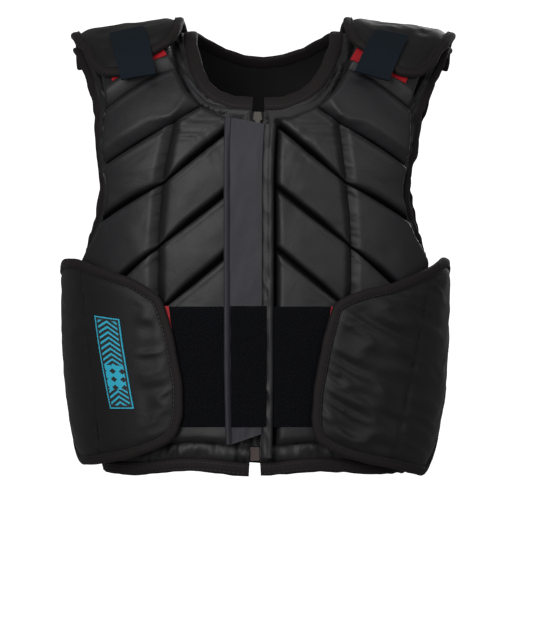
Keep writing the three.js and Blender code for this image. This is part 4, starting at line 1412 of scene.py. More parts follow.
class Workshop:
    """What the sub-assemblies share: the finishes, the thread and the list of pieces."""

    def __init__(self) -> None:
        """Starts with no pieces."""
        self.materials = Materials()
        self.thread = self.materials.cloth(THREAD)
        self.pieces: list[bpy.types.Object] = []

    def keep(self, piece: bpy.types.Object, slot: str, *nodes: str) -> bpy.types.Object:
        """Rides a piece on the vest, in place of its solids.

        Args:
            piece: The piece.
            slot: Its material slot; not used.
            nodes: Names of the solids that it replaces.

        Returns:
            The piece.
        """
        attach(piece, "root")
        if nodes:
            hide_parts(*nodes)
        self.pieces.append(piece)
        return piece

    def pad(
        self, cloth: Cloth, finish: Finish, slot: str, node: str, step: int = 1
    ) -> None:
        """Makes and keeps a padded piece.

        Args:
            cloth: Its form.
            finish: Its cover.
            slot: Its material slot.
            node: The solid that it replaces.
            step: How coarse its inner face is.
        """
        piece = self.keep(cloth.build(self.materials.cloth(finish), step), slot, node)

    def laid(
        self, cloth: Cloth, finish: Finish, slot: str, node: str, under: str, held: str = "laid"
    ) -> None:
        """Makes and keeps a thin cloth, and logs the size that it was cut to.

        Args:
            cloth: Its form.
            finish: Its finish.
            slot: Its material slot.
            node: The solid that it replaces.
            under: The piece that it lies on; not used.
        """
        piece = self.keep(cloth.build(self.materials.cloth(finish)), slot, node)
        self.sheet(cloth, piece)

    def sheet(
        self, cloth: Cloth, piece: bpy.types.Object,
    ) -> None:
        """Logs the size that a thin cloth was cut to.

        Args:
            cloth: Its form.
            piece: Its mesh.
        """
        size, area = cloth.flat()
        log.info("%s is cut to %.0f by %.0f mm", piece.name, size[0] / MM, size[1] / MM)

    def band(
        self, name: str, line: Line, tape: Tape, turn: float, rows: tuple[float, ...], node: str
    ) -> None:
        """A binding with its rows of stitches.

        Args:
            name: Its name.
            line: The bound edge.
            tape: Its section.
            turn: The side of the edge.
            rows: Distances of the rows of stitches from the edge.
            node: The solid that it replaces.
        """
        piece = tape.build(name, line, turn, self.materials.cloth(BINDING))
        self.keep(piece, "binding_tape", node)
        out = tape.thickness / 2 + tape.bulge - 0.1
        for number, across in enumerate(rows, 1):
            row = stitch_row(f"{name}_stitches_{number}", line, turn, across, out, self.thread)
            self.keep(row, "binding_tape")


@dataclass
class FrontPanel:
    """A quilted front panel, with channels in chevrons and one that runs up it.

    Rows follow the chevrons from hem to shoulder; columns run from the zip or the neck over
    the upright seam to the side seam or the armhole. The widths are those at the chest.
    """

    side: Side
    zip_gap: float = 6.0
    inner_width: float = 78.0
    outer_width: float = 92.0
    hem_run: float = 60.0
    shoulder_gap: float = 0.15
    channels: tuple[int, ...] = (1, 2, 3, 6, 7)
    walls: tuple[Wall, ...] = (
        Wall(8.0, 4.0), Wall(8.0, 4.0), Wall(9.5, 4.0),
        Wall(15.0, 5.0, 1.3, 3.2, 0.8), Wall(14.0, 5.5, 1.3, 3.0, 0.8),
    )

    def lines(self) -> list[tuple[float, ...]]:
        """Heights at the zip, the upright seam and the side, from hem to shoulder.

        Returns:
            The hem, the chevrons, two rows where the neck turns, and the shoulder.
        """
        third, fourth = CHEVRONS[2], CHEVRONS[3]

        def between(share: float, inner: float) -> tuple[float, ...]:
            """A row between two chevrons that starts at a level of its own."""
            others = (mix(low, high, share) for low, high in zip(third[1:], fourth[1:]))
            return row_heights((inner, *others))

        lines = [(HEM_EDGE,) * 3]
        lines += [row_heights(row) for row in CHEVRONS[:3]]
        lines += [between(0.45, NECK_CORNER), between(0.7, NECK_EDGE[0][0])]
        lines += [row_heights(row) for row in CHEVRONS[3:]]
        return lines + [(REACH - self.shoulder_gap,) * 3]

    def grid(self) -> tuple[Array, Array, list[int], int]:
        """Places of the panel's points.

        Returns:
            Angles and heights, the number of each line's row, and the upright seam's column.
        """
        rows, numbers = quilt_rows(self.lines(), 0.95, 2.6, 0.8)
        corner, under = numbers[4:6]
        neck = Curve(NECK_EDGE, 0.02)
        number = np.arange(len(rows))
        climb = np.clip((number - corner) / (under - corner), 0, 1)
        below = mix(float(angle_at(self.zip_gap)), neck(NECK_EDGE[0][0]), climb)
        levels = height_level(rows)
        first = np.where(number > under, neck(levels[:, 0]), below)
        middle, last = Curve(UPRIGHT, 0.03)(levels[:, 1]), Curve(FRONT_OUTER, 0.025)(levels[:, 2])
        inner = fine_steps(self.inner_width, 1.15, 2.6, INNER_STEP)[None, :]
        outer = fine_steps(self.outer_width, 1.15, 2.6, INNER_STEP)[None, 1:]
        angle, height = (
            np.hstack([mix(guide[:, :1], guide[:, 1:2], inner), mix(guide[:, 1:2], guide[:, 2:], outer)])
            for guide in (np.stack([first, middle, last], axis=1), rows)
        )
        sink = np.clip(1 - (height - HEM_EDGE) / self.hem_run, 0, 1)
        height = height + (hem_height(angle) - HEM_EDGE) * sink
        return angle, height, numbers, inner.shape[1] - 1

    def cloth(self) -> Cloth:
        """The panel's cover and foam; the last row is the shoulder seam."""
        angle, height, numbers, seam = self.grid()
        level, hand = height_level(height), self.side.value
        cloth = outline_cloth(f"front_pad_{self.side.word}", hand * angle, height, 0.0, 0.0)
        quilt = Quilt(cloth, hand, 11 if self.side is Side.RIGHT else 29)
        crossing = quilt.distance((level[:, seam] < UPRIGHT_TOP, seam))
        for line, wall in zip(self.channels, self.walls):
            quilt.channel(numbers[line], wall, crossing)
        quilt.valley(crossing, 9.5, 0.4, ease((UPRIGHT_TOP + 0.02 - level) / 0.05))
        inner, outer, hem = (quilt.distance(where) for where in (np.s_[:, 0], np.s_[:, -1], 0))
        on_arm = ease((level - 0.8) / 0.1)
        edges = quilt.margins(inner, outer, mix(ARM_MARGIN, ARM_SEAM, on_arm), hem)
        folds = (
            Folds(0.9, 46, 38, 20, seed=5 + hand),
            Folds(0.4, 17, 15, -30, seed=8 + hand),
            Folds(0.12, 6, 5, 10, seed=14),
        )
        # Painted shade: the grooves' shadow, a painted shadow line where the pad meets the armhole
        # strip, and one at the foot of the pad beside the zip and neck margins
        painted_arm_seam_shade = 0.7 * on_arm * bell(outer - ARM_SEAM, 2.4)
        painted_margin_shade = 0.6 * bell(inner - MARGIN + 0.5, 2.2)
        cloth.groove = np.maximum(quilt.dark * ease(edges * 1.5), np.maximum(painted_arm_seam_shade, painted_margin_shade))
        # The cloth creases where the top of the placket pulls at it
        corner = Folds(1.5, 22, 7, 52 * hand, True, 19).at(quilt.u * hand, quilt.v)
        near_placket = ease(1 - np.abs(level - 1.14) / 0.14) * ease(1 - np.abs(inner - 34) / 36)
        outer_face = quilt.thickness(level, edges, folds) + quilt.creases(np.minimum(inner, outer))
        puffs = quilt.hem_puff(hem) + on_arm * quilt.arm_puff(outer)
        cloth.outer = np.maximum(outer_face + corner * near_placket + puffs, EDGE * 0.8)
        return cloth


@dataclass
class BackPanel:
    """The quilted back, from one side seam over the middle to the other.

    Rows follow its chevrons and then gather on the neck and the shoulder seams.
    """

    half_width: float = 178.0
    top_run: float = 150.0
    neck_share: float = 0.5
    shoulder_gap: float = 0.15
    wall: Wall = Wall(6.5, 4.5)
    seam_top: float = 1.36

    def grid(self) -> tuple[Array, Array, list[int], Array, int]:
        """Places of the panel's points.

        Returns:
            Angles and heights from the back's middle, the number of each chevron's row, the
            columns' places from -1 to 1, and how far the upright seams' columns lie apart.
        """
        lines = [(HEM_EDGE, HEM_EDGE)] + [row_heights(row) for row in BACK_CHEVRONS]
        rows, numbers = quilt_rows(lines, 1.2, 3.4)
        spans = ((0, BACK_UPRIGHT), (BACK_UPRIGHT, 1))
        inner, outer = (
            fine_steps((end - start) * self.half_width, 1.3, 3.4, INNER_STEP) * (end - start) + start
            for start, end in spans
        )
        half = np.concatenate([inner, outer[1:]])
        across = np.concatenate([-half[:0:-1], half])
        away = np.abs(across)[None, :]
        height = mix(rows[:, :1], rows[:, 1:], away)
        angle = away * Curve(BACK_OUTER, 0.03)(height_level(rows[:, 1]))[:, None]
        to_neck = fine_steps(self.top_run, 1.6, 3.0, INNER_STEP)[1:, None]
        top_angle = Curve(BACK_NECK_ANGLE, 0.03)(away)
        top_height = level_height(Curve(BACK_NECK_LEVEL, 0.04)(away)) - self.shoulder_gap
        angle = np.vstack([angle, mix(angle[-1:], top_angle, to_neck)])
        height = np.vstack([height, mix(height[-1:], top_height, to_neck)])
        height[0] = HEM_EDGE
        return angle, height, numbers, across, len(inner) - 1

    def cloth(self) -> Cloth:
        """The panel's cover and foam; the last row is the neck and the shoulder seams."""
        angle, height, numbers, across, apart = self.grid()
        level = height_level(height)
        hand = np.sign(across)[None, :]
        cloth = outline_cloth("back_pad", hand * angle, 2 * REACH - height, 0.0, 0.0)
        quilt = Quilt(cloth, 1, 51)
        middle = len(across) // 2
        seams = [quilt.base[: numbers[-1] + 1, middle + step] for step in (0, apart, -apart)]
        crossing = nearest(quilt.base, np.concatenate(seams))
        for row in numbers[1:]:
            quilt.channel(row, self.wall, crossing)
        quilt.valley(crossing, 11.0, 0.5, ease((self.seam_top - level) / 0.06))
        sides = np.minimum(quilt.distance(np.s_[:, 0]), quilt.distance(np.s_[:, -1]))
        neck = quilt.distance((-1, np.abs(across) <= self.neck_share))
        hem = quilt.distance(0)
        edges = quilt.margins(neck, sides, ARM_MARGIN, hem)
        folds = (Folds(0.9, 50, 40, 15, seed=61), Folds(0.4, 18, 16, -25, seed=62))
        # Painted shade of the channels and valleys
        cloth.groove = quilt.dark * ease(edges * 1.5)
        outer_face = quilt.thickness(level, edges, folds) + quilt.creases(np.minimum(sides, neck))
        cloth.outer = np.maximum(outer_face + quilt.hem_puff(hem), EDGE * 0.8)
        return cloth


@dataclass
class Gusset:
    """The thin cloth under the arm between front and back; its middle is loose."""

    side: Side
    seam_gap: float = 0.3
    size: tuple[int, int] = (60, 40)
    folds: tuple[Folds, ...] = (Folds(0.9, 30, 18, 10, seed=101),)

    def cloth(self) -> Cloth:
        """The gusset's cloth, from front to back."""
        up, across = square_grid(*self.size)
        angle = mix(SIDE_SEAM - self.seam_gap, BACK_SEAM + self.seam_gap, across)
        height = mix(hem_height(angle), level_height(Curve(GUSSET_TOP, 2.0)(angle)), up)
        cloth = outline_cloth(f"gusset_{self.side.word}", self.side.value * angle, height, 0.0, EDGE)
        middle = np.sin(across * math.pi) * np.sin(up * math.pi)
        cloth.outer = cloth.outer + all_folds(self.folds, *cloth.measures()) * middle
        return cloth


@dataclass
class Shell:
    """The quilted panels and gussets, and the bindings along their outer edges."""

    arm_tape: tuple[float, float, float] = (7.4, 6.2, 2.5)
    neck_tape: Tape = Tape(12.6, 6.6, 2.5, waves=0.45, seed=8)
    hem_tape: Tape = Tape(HEM_TAPE, 6.6, 2.5, waves=0.8, seed=12)
    front_arm: float = 0.75
    back_arm: float = 0.78
    back_neck: float = 22.01
    zip_gap: float = 6.2

    def build(self, shop: Workshop) -> None:
        """Makes the panels and gussets, then their bindings.

        Args:
            shop: Where the pieces are kept.
        """
        self.back = BackPanel().cloth()
        shop.pad(self.back, SATIN, "shell_nylon", "back_panel", INNER_STEP)
        self.gussets = {side: Gusset(side).cloth() for side in Side}
        self.fronts = {side: FrontPanel(side).cloth() for side in Side}
        for side in Side:
            front, under = self.fronts[side], self.gussets[side]
            node = f"front_panel_{side.word}"
            shop.pad(front, SATIN, "shell_nylon", node, INNER_STEP)
            node = f"side_gusset_{side.word}"
            shop.laid(under, SATIN, "shell_nylon", node, "back_panel", "stretched")
        for side in Side:
            tape = Tape(*self.arm_tape, waves=1.7, seed=3 + side.value)
            name, node = f"armhole_tape_{side.word}", f"armhole_binding_{side.word}"
            shop.band(name, self.armhole(side), tape, side.value, (1.2,), node)
        shop.band("neck_tape", self.neck(), self.neck_tape, 1.0, (1.6,), "neck_binding")
        start = float(angle_at(self.zip_gap))
        around = np.linspace(start, 360 - start, 500)
        hem = Line.along(around, hem_height(around), 3.2)
        shop.band("hem_tape", hem, self.hem_tape, 1.0, (1.5, HEM_TAPE - 3), "hem_binding")

    def armhole(self, side: Side) -> Line:
        """The closed edge up the front, down the back and over the gusset.

        The gusset's places count from the zip and the back's from its middle.
        """
        front, back, under = self.fronts[side], self.back, self.gussets[side]
        column = -1 if side is Side.LEFT else 0
        on_arm = height_level(front.height[:, -1]) >= self.front_arm
        down = height_level(2 * REACH - back.height[:, column]) >= self.back_arm
        angle, height = (
            np.concatenate([ahead[on_arm, -1], behind[down, column][::-1], below[-1, ::-1]])
            for ahead, behind, below in (
                (front.angle, back.angle, under.angle), (front.height, back.height, under.height)
            )
        )
        return Line.along(angle, height, EDGE / 2, closed=True)

    def neck(self) -> Line:
        """The open edge from the zip up the right, over the back and down the left."""
        right, left = self.fronts[Side.RIGHT], self.fronts[Side.LEFT]
        top = np.abs(self.back.angle[-1]) <= self.back_neck
        up = height_level(right.height[:, 0]) >= NECK_CORNER - 1e-4
        angle, height = (
            np.concatenate([start[up, 0], behind[-1, top], end[up, 0][::-1]])
            for start, behind, end in (
                (right.angle, self.back.angle, left.angle),
                (right.height, self.back.height, left.height),
            )
        )
        return Line.along(angle, height, EDGE / 2)


@dataclass
class WaistFlap:
    """A waist flap: thin padding that wraps forward from its seam on the back."""

    side: Side
    tape: tuple[float, float, float] = (6.8, 6.4, 3.6)
    height: float = 170.0
    width: float = 215.0
    seam_scale: float = 3.05
    rim: float = 6.0
    seam_levels: tuple[float, float] = (0.12, 0.64)
    edge: tuple = (np.s_[0, ::-1], np.s_[1:-1, 0], np.s_[-1])

    def folds(self) -> tuple[Folds, ...]:
        """Its folds; the right flap lies calmer, as its label is sewn flat."""
        hand = self.side.value
        lively = 1.0 if self.side is Side.LEFT else 0.55
        return (
            Folds(1.9 * lively, 60, 15, -9, seed=71 + hand),
            Folds(2.8 * lively, 34, 10, -14, True, 75 + hand),
            Folds(0.5, 44, 40, seed=79 + hand),
        )

    def cloth(self) -> Cloth:
        """The flap's cover and padding, from its free edge to the seam."""
        outline = WAIST_OUTLINES[self.side]
        bottom, top = (Curve(tuple((row[0], row[i]) for row in outline), 0.03) for i in (1, 2))
        up = fine_steps(self.height, 1.2, 2.6)[:, None]
        across = fine_steps(self.width, 1.3, 2.6)[None, :]
        first = Curve(WAIST_FRONTS[self.side], 0.1)(up)
        angle = mix(first, FLAP_SEAM, across)
        height = mix(level_height(bottom(across)), level_height(top(across)), up)
        hand = self.side.value
        name = f"waist_flap_cloth_{self.side.word}"
        cloth = outline_cloth(name, hand * angle, height, FLAP_SEAT, WAIST_FLAP)
        base = cloth.base()
        u, v = cloth.measures(base)
        edge = nearest(base, along_edge(base, (0, np.s_[:, 0], -1)))
        seam = np.abs(angle - Curve(WAIST_SEAMS[self.side])(height_level(height))) * self.seam_scale
        front_part = 0.35 + 0.65 * ease(1.25 - (angle - first) / 34)
        if self.side is Side.RIGHT:
            front_part = front_part * ease((np.abs(angle - LABEL_MIDDLE) - 6.5) / 4)
        loose = all_folds(self.folds(), hand * u, v) * ease(edge / 16) * front_part
        pucker = 0.5 * Noise(83)(0.5, v / 4.0) * bell(seam, 7)
        border = (0.35 * Noise(84)(u / 5, v / 5) - 2.4) * bell(edge, self.rim)
        cloth.outer = cloth.outer + loose - 1.7 * bell(seam, 1.7) + pucker + border
        cloth.inner = cloth.inner + np.minimum(loose, 0) * 0.3
        cloth.outer = np.maximum(cloth.outer, cloth.inner + 2.2)
        return cloth

    def build(self, shop: Workshop) -> None:
        """Makes the flap, its binding and the stitched line that runs up it.

        Args:
            shop: Where the pieces are kept.
        """
        side, cloth = self.side, self.cloth()
        shop.pad(cloth, FLAP_NYLON, "flap_cloth", f"waist_flap_{side.word}")
        angle, height = along_edge(cloth.angle, self.edge), along_edge(cloth.height, self.edge)
        line = Line.along(angle, height, FLAP_SEAT + WAIST_FLAP / 2)
        tape = Tape(*self.tape, bulge=0.6, seed=15 + side.value)
        name, node = f"waist_tape_{side.word}", f"waist_flap_binding_{side.word}"
        shop.band(name, line, tape, -side.value, (-1.6,), node)
        levels = np.linspace(*self.seam_levels, 80)
        seam = side.value * Curve(WAIST_SEAMS[side])(levels)
        sewn = Line.along(seam, level_height(levels), FLAP_SEAT + WAIST_FLAP)
        row = stitch_row(f"waist_seam_{side.word}", sewn, 1.0, 0.0, -1.3, shop.thread, 4.0)
        shop.keep(row, "flap_cloth")


@dataclass
class WovenLabel:
    """The teal label on the right waist flap, with a design of its own."""

    gap: float = 0.5
    thickness: float = 0.8
    size: tuple[int, int] = (48, 16)

    def build(self, shop: Workshop) -> None:
        """Makes the label.

        Args:
            shop: Where the pieces are kept.
        """
        seat = FLAP_SEAT + WAIST_FLAP + self.gap
        cloth = patch_cloth("label_cloth", LABEL, Side.RIGHT.value, seat, self.thickness, self.size)
        label = cloth.build(shop.materials.label(), unit_uv=True)
        shop.keep(label, "label", "woven_label")
        shop.sheet(cloth, label)


@dataclass
class ShoulderFlap:
    """A shoulder flap: padding over the shoulder, its red tape and the strap that holds it."""

    side: Side
    tape: tuple[float, float, float] = (7.4, 7.2, 3.2)
    length: float = 205.0
    width: float = 110.0
    rim: float = 6.0
    strap_thickness: float = 1.9
    strap_border: float = 4.0
    edge: tuple = (np.s_[:0:-1, -1], np.s_[0, ::-1], np.s_[1:, 0])

    def cloth(self) -> Cloth:
        """The flap's cover and padding; it comes down on the back pad at its root."""
        front, hand = Curve(SHOULDER_FRONT, 0.05), self.side.value
        neck_side, arm_side = Curve(SHOULDER_NECK_SIDE, 0.06), Curve(SHOULDER_ARM_SIDE, 0.06)
        up = fine_steps(self.length, 1.3, 2.4)[:, None]
        across = fine_steps(self.width, 1.2, 2.2)[None, :]
        height = level_height(mix(front(across), SHOULDER_BACK, up))
        angle = mix(neck_side(up), arm_side(up), across)
        lift = PAD_GAP + RED_TAPE + LAY
        seat = pad_thickness(height_level(height)) + lift - lift * ease((up - 0.93) / 0.07)
        name = f"shoulder_flap_cloth_{self.side.word}"
        cloth = outline_cloth(name, hand * angle, height, seat, SHOULDER_FLAP)
        base = cloth.base()
        u, v = cloth.measures(base)
        edge = nearest(base, along_edge(base, (0, np.s_[:, 0], np.s_[:, -1])))
        folds = (
            Folds(1.3, 34, 13, 38 * hand, seed=91 + hand),
            Folds(0.6, 14, 9, -20 * hand, seed=95 + hand),
        )
        loose = all_folds(folds, u, v) * ease(edge / 14)
        border = (0.35 * Noise(97)(u / 5, v / 5) - 2.6) * bell(edge, self.rim)
        cloth.outer = np.maximum(cloth.outer + loose + border, cloth.inner + 2.4)
        return cloth

    def build(self, shop: Workshop) -> None:
        """Makes the flap, its binding, the strap and the red tape.

        Args:
            shop: Where the pieces are kept.
        """
        side, cloth = self.side, self.cloth()
        shop.pad(cloth, FLAP_NYLON, "flap_cloth", f"shoulder_flap_{side.word}")
        angle, height, seat = (
            along_edge(grid, self.edge) for grid in (cloth.angle, cloth.height, cloth.inner)
        )
        line = Line.along(angle, height, seat + SHOULDER_FLAP / 2)
        tape = Tape(*self.tape, bulge=0.5, seed=18 + side.value)
        name, node = f"shoulder_tape_edge_{side.word}", f"shoulder_flap_binding_{side.word}"
        shop.band(name, line, tape, -side.value, (-1.2,), node)
        under = f"shoulder_flap_cloth_{side.word}"
        shop.laid(self.strap(), NAVY, "hook_strap", f"shoulder_strap_{side.word}", under)
        name, node = f"red_shoulder_tape_{side.word}", f"shoulder_tape_{side.word}"
        red = patch_cloth(name, SHOULDER_TAPES[side], side.value, None, RED_TAPE, (14, 30))
        shop.laid(red, RED, "red_tape", node, f"front_pad_{side.word}")

    def strap(self) -> Cloth:
        """A hook strap with thicker sewn borders."""
        name = f"hook_strap_{self.side.word}"
        cloth = patch_cloth(name, STRAPS[self.side], self.side.value, None, 2.0, (64, 28))
        cloth.inner = cloth.inner + RED_TAPE + 2 * LAY + SHOULDER_FLAP + 0.5
        border = cloth.rim_distance()
        sewn = 0.5 * np.exp(-((border - 3.4) ** 2) / 0.5)
        raised = 0.5 * (1 - ease((border - self.strap_border) / 1.2)) - sewn
        cloth.outer = cloth.inner + self.strap_thickness + raised
        return cloth


@dataclass
class Placket:
    """The storm flap over the zip, with its bound edge and its sewn fold."""

    flap: Strip = Strip((-24.5, 7.2), (0.105, 0.14), (1.222, 1.198))
    bound: Strip = Strip((-30.4, -24.2), (0.105, 0.105), (1.222, 1.222))
    fold: Strip = Strip((6.8, 18.9), (0.06, 0.06), (1.198, 1.198))

    def flap_cloth(self) -> Cloth:
        """The flap, with loose folds and small gathers at its foot."""
        cloth = self.flap.cloth("placket_cloth", PLACKET_SEAT, 2.6, 1.5)
        u, v = cloth.measures()
        rim = np.minimum(u, u[:, -1:] - u)
        folds = (Folds(0.7, 26, 40, 25, seed=111), Folds(0.35, 9, 17, -15, seed=112))
        gathers = Noise(113)(u / 2.6, v / 30) * 0.8 * bell(v - 12, 12) * ease(rim / 3)
        cloth.outer = cloth.outer + all_folds(folds, u, v) * ease(rim / 6) + gathers
        return cloth

    def bound_cloth(self) -> Cloth:
        """The bound edge: two ridges with a sewn groove between them."""
        cloth = self.bound.cloth("placket_tape", PLACKET_SEAT, 3.2, 1.0)
        u, v = cloth.measures()
        share = u / (self.bound.sideways[1] - self.bound.sideways[0])
        ridges = 0.8 * bell(share - 0.3, 0.22) + 0.9 * bell(share - 0.82, 0.1)
        groove = 0.9 * bell(share - 0.62, 0.08) + 0.8 * (2 * share - 1) ** 6
        cloth.outer = cloth.outer + ridges - groove + Noise(115)(0.5, v / 14) * 0.5
        return cloth

    def fold_cloth(self) -> Cloth:
        """The fold: a soft tube that falls off to the pad, with slanting creases."""
        cloth = self.fold.cloth("placket_fold_cloth", PLACKET_SEAT, 3.0, 1.2)
        u, v = cloth.measures()
        share = u / (self.fold.sideways[1] - self.fold.sideways[0])
        tube = 1.8 * bell(share - 0.72, 0.2) - 1.9 * bell(share, 0.14)
        tube = tube - 1.9 * np.clip((share - 0.88) / 0.12, 0, 1) ** 2
        creases = Folds(0.9, 12, 26, 28, True, 116).at(u, v) * np.sin(share * math.pi)
        cloth.outer = cloth.outer + tube + creases
        return cloth

    def build(self, shop: Workshop) -> None:
        """Makes the flap, its bound edge and the fold.

        Args:
            shop: Where the pieces are kept.
        """
        grey = shop.materials.cloth(PLACKET_CLOTH)
        cloth = self.flap_cloth()
        flap = shop.keep(cloth.build(grey), "placket_cloth", "placket")
        bound = shop.keep(self.bound_cloth().build(grey), "binding_tape", "placket_binding")
        shop.sheet(cloth, flap)
        fold = self.fold_cloth()
        shop.laid(fold, SATIN, "placket_cloth", "placket_fold", "front_pad_left", "folded")


@dataclass
class LoopPatches:
    """The fuzzy patches that the waist flaps close on, and the red tapes beside them."""

    thickness: float = 1.6
    over_placket: Strip = Strip((-24.0, 11.9), (0.165, 0.165), (0.572, 0.572))
    placket_gap: float = 3.8
    starts: tuple[tuple[Side, float], ...] = ((Side.RIGHT, 30.8), (Side.LEFT, 19.3))

    def build(self, shop: Workshop) -> None:
        """Makes the three patches and two tapes.

        Args:
            shop: Where the pieces are kept.
        """
        seat = PLACKET_SEAT + self.placket_gap
        middle = self.over_placket.cloth("loop_on_placket", seat, self.thickness, 1.5)
        self.patch(shop, middle, "loop_patch_placket", "placket_cloth")
        low, high = LOOP_LEVELS
        for side, start in self.starts:
            corner = (float(angle_at(start)), LOOP_OUTER[side])
            place = Patch(corner, (low, low), corner, (high, high))
            name, hand = f"loop_{side.word}", side.value
            cloth = patch_cloth(name, place, hand, PLACKET_SEAT, self.thickness, (80, 44))
            self.patch(shop, cloth, f"loop_patch_{side.word}", f"front_pad_{side.word}")
            tape = f"red_tape_cloth_{side.word}"
            red = patch_cloth(tape, RED_TAPES[side], hand, PLACKET_SEAT + 2.0, RED_TAPE, (24, 8))
            shop.laid(red, RED, "red_tape", f"red_tape_{side.word}", name)

    def patch(self, shop: Workshop, cloth: Cloth, node: str, under: str) -> None:
        """A loop patch: its fuzzy face rounds off at the borders.

        Args:
            shop: Where the piece is kept.
            cloth: Its form.
            node: The solid that it replaces.
            under: The piece that it lies on.
        """
        u, v = cloth.measures()
        fuzz = Noise(121)(u / 1.9, v / 1.9) * 0.12 + Noise(122)(u / 14, v / 14) * 0.35
        cloth.outer = cloth.outer + fuzz - 0.7 * np.exp(-cloth.rim_distance() / 1.5)
        shop.laid(cloth, LOOP_PILE, "loop_pile", node, under)


@dataclass
class FrontZip:
    """The zip: tapes, a chain of moulded teeth, and the slider and box of the solids."""

    levels: tuple[float, float] = (0.09, 1.275)
    tape: tuple[float, float] = (2.4, 6.8)
    pitch: float = 2.4
    chain_seat: float = 1.6
    tooth: tuple[float, float, float] = (1.7, 0.5, 1.3)
    stagger: float = 0.8

    def build(self, shop: Workshop) -> None:
        """Makes the tapes and teeth and dresses the slider and the box.

        Args:
            shop: Where the pieces are kept.
        """
        bottom, top = self.levels
        for side in Side:
            edges = tuple(side.value * edge for edge in self.tape)
            strip = Strip(edges, (bottom, bottom), (top, top))
            cloth = strip.cloth(f"zip_tape_cloth_{side.word}", 1.0, 1.0, 2.2)
            tape = cloth.build(shop.materials.cloth(ZIP_TAPE))
            shop.keep(tape, "zip_tape", f"zip_tape_{side.word}")
        # Moulded nylon: black, with small highlights on its edges
        plastic = shop.materials.hard("zip_plastic", "18181a", 0.4, 0.0)
        shop.keep(self.teeth(plastic), "zip_tape", "zip_teeth")
        # Blackened zinc: a dark metal, with scuffs in its roughness
        zinc = shop.materials.hard("blackened_zinc", "4b4844", 0.45, 0.9)
        # Moulded plastic: dark brown and slightly scuffed
        moulded = shop.materials.hard("moulded_zip_box", "3a2c28", 0.5, 0.0)
        for name, material in (("zip_slider", zinc), ("zip_bottom_box", moulded)):
            solid = bpy.data.objects[name]
            solid.data.materials.clear()
            solid.data.materials.append(material)

    def teeth(self, plastic: bpy.types.Material) -> bpy.types.Object:
        """Teeth as boxes that stand by turns on either side of the zip line.

        Args:
            plastic: Their finish.

        Returns:
            One object with all of them.
        """
        start, end = row_heights(self.levels)
        heights = np.arange(start + 1, end, self.pitch / 2)
        middle = np.zeros(len(heights))
        turn = np.where(np.arange(len(heights)) % 2 == 0, 1.0, -1.0)[:, None]
        normal = TORSO.normal(middle, heights)
        sideways = np.broadcast_to([1.0, 0.0, 0.0], normal.shape)
        up = np.cross(normal, sideways)
        up = up * np.sign(up[:, 2:])
        centre = TORSO.off(middle, heights, middle + self.chain_seat) + turn * sideways * self.stagger
        half, thick, high = self.tooth
        points, quads = boxes(centre, (sideways * half, up * thick, normal * high))
        uv = points[:, ::2] * MM
        return mesh_object("zip_teeth_chain", points, quads, NO_TRIS, uv, plastic, 30.0)


@dataclass(frozen=True)
class Lamp:
    """A soft area light, in metres and watts."""

    name: str
    place: tuple[float, float, float]
    size: float
    power: float


LAMPS = (
    Lamp("key", (-0.8, -2.3, 0.25), 1.3, 46),
    Lamp("fill", (1.5, -1.9, 0.1), 1.0, 11),
    Lamp("top", (0.0, -0.9, 1.1), 0.9, 4),
    Lamp("rear", (0.9, 2.2, 0.7), 1.2, 24),
)


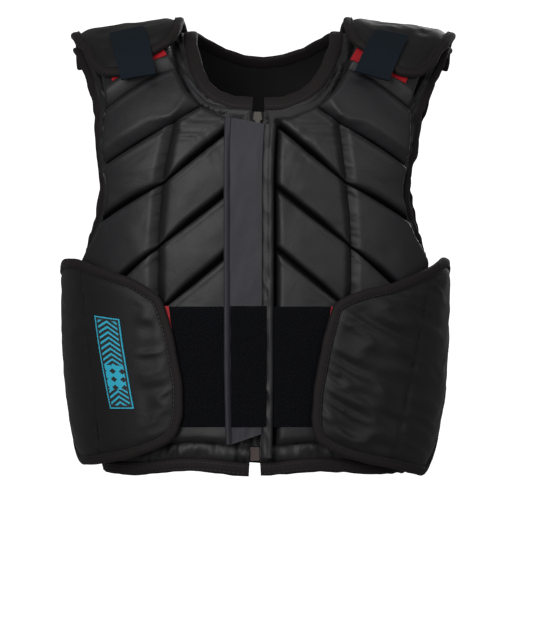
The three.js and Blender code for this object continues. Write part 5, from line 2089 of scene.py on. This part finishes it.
@dataclass
class Studio:
    """The pale ground in millimetres, and the lights and the camera in metres."""

    materials: Materials
    floor: float = 5000.0
    bend: float = 1500.0
    wall: float = 8000.0
    drop: float = 3000.0
    glow: float = 0.95
    surround: float = 0.2
    aim: tuple[float, float, float] = (0.012, 0.0, -0.29)
    camera_place: tuple[float, float, float] = (0.012, -2.5, -0.3094)
    lens: float = 130.2
    sensor: float = 36.0

    def ground(self) -> None:
        """A round pale floor that curves up into a wall all the way round."""
        bend = np.linspace(0, math.pi / 2, 16)
        radius = np.concatenate([
            [1], self.floor + self.bend * np.sin(bend), [self.floor + self.bend]
        ])
        height = np.concatenate([[0], self.bend * (1 - np.cos(bend)), [self.wall]]) - self.drop
        around = np.linspace(0, 2 * math.pi, 97)
        x, y = radius[:, None] * np.cos(around), radius[:, None] * np.sin(around)
        points = np.stack(np.broadcast_arrays(x, y, height[:, None]), axis=-1).reshape(-1, 3)
        quads = grid_quads(len(radius), len(around))[:, ::-1]
        # Matt background paper: even, with no highlights
        paper = self.materials.hard("pale_paper", "f4f4f4", 0.9, 0.0)
        shader = paper.node_tree.nodes["Principled BSDF"]
        shader.inputs["Emission Color"].default_value = srgb("ffffff")
        shader.inputs["Emission Strength"].default_value = self.glow
        uv = points[:, :2] * MM
        ground = mesh_object("studio_ground", points, quads, NO_TRIS, uv, paper)
        # The ground is a backdrop only, so it adds no light to the vest and isn't mirrored in it
        ground.visible_diffuse = False
        ground.visible_glossy = False
        ground.visible_shadow = False
        ground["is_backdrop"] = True

    def lamps(self) -> None:
        """The soft lights and an even pale surround."""
        for lamp in LAMPS:
            data = bpy.data.lights.new(lamp.name, "AREA")
            data.shape = "DISK"
            data.size = lamp.size
            data.energy = lamp.power
            obj = bpy.data.objects.new(lamp.name, data)
            obj.location = lamp.place
            way = Vector(self.aim) - Vector(lamp.place)
            obj.rotation_euler = way.to_track_quat("-Z", "Y").to_euler()
            bpy.context.scene.collection.objects.link(obj)
        world = bpy.data.worlds.new("surround")
        world.use_nodes = True
        shade = world.node_tree.nodes["Background"]
        shade.inputs["Color"].default_value = srgb("ffffff")
        shade.inputs["Strength"].default_value = self.surround
        bpy.context.scene.world = world

    def camera(self) -> None:
        """Level, in front, with the picture's framing."""
        data = bpy.data.cameras.new("camera")
        data.lens = self.lens
        data.sensor_width = self.sensor
        camera = bpy.data.objects.new("camera", data)
        camera.location = self.camera_place
        camera.rotation_euler = (math.radians(90), 0, 0)
        bpy.context.scene.collection.objects.link(camera)
        bpy.context.scene.camera = camera
        bpy.context.scene.view_settings.view_transform = "Standard"


def write_size(started: object) -> None:
    """Gathers the size of the solids and of the finished model, but doesn't write it anywhere.

    Args:
        started: The bounds right after loading.
    """
    sizes = {"cad": plain(started), "visual": plain(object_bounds())}


def plain(value: object) -> object:
    """Nested plain lists of numbers.

    Args:
        value: A number, or vectors in lists or dictionaries.

    Returns:
        The same numbers in plain lists and dictionaries.
    """
    if isinstance(value, (int, float, str)):
        return value
    if isinstance(value, dict):
        return {key: plain(item) for key, item in value.items()}
    return [plain(item) for item in value]


def main() -> None:
    """Builds the whole scene."""
    logging.basicConfig(level=logging.INFO)
    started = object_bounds()
    shop = Workshop()
    waist = [WaistFlap(side) for side in Side]
    shoulders = [ShoulderFlap(side) for side in Side]
    for part in (Shell(), *waist, WovenLabel(), *shoulders, Placket(), LoopPatches(), FrontZip()):
        before = len(shop.pieces)
        part.build(shop)
        log.info("%s: %d pieces", type(part).__name__, len(shop.pieces) - before)
    studio = Studio(shop.materials)
    studio.ground()
    studio.lamps()
    studio.camera()
    count = sum(len(piece.data.polygons) for piece in shop.pieces)
    log.info("%d pieces, %d faces", len(shop.pieces), count)
    write_size(started)


if __name__ == "__main__":
    main()
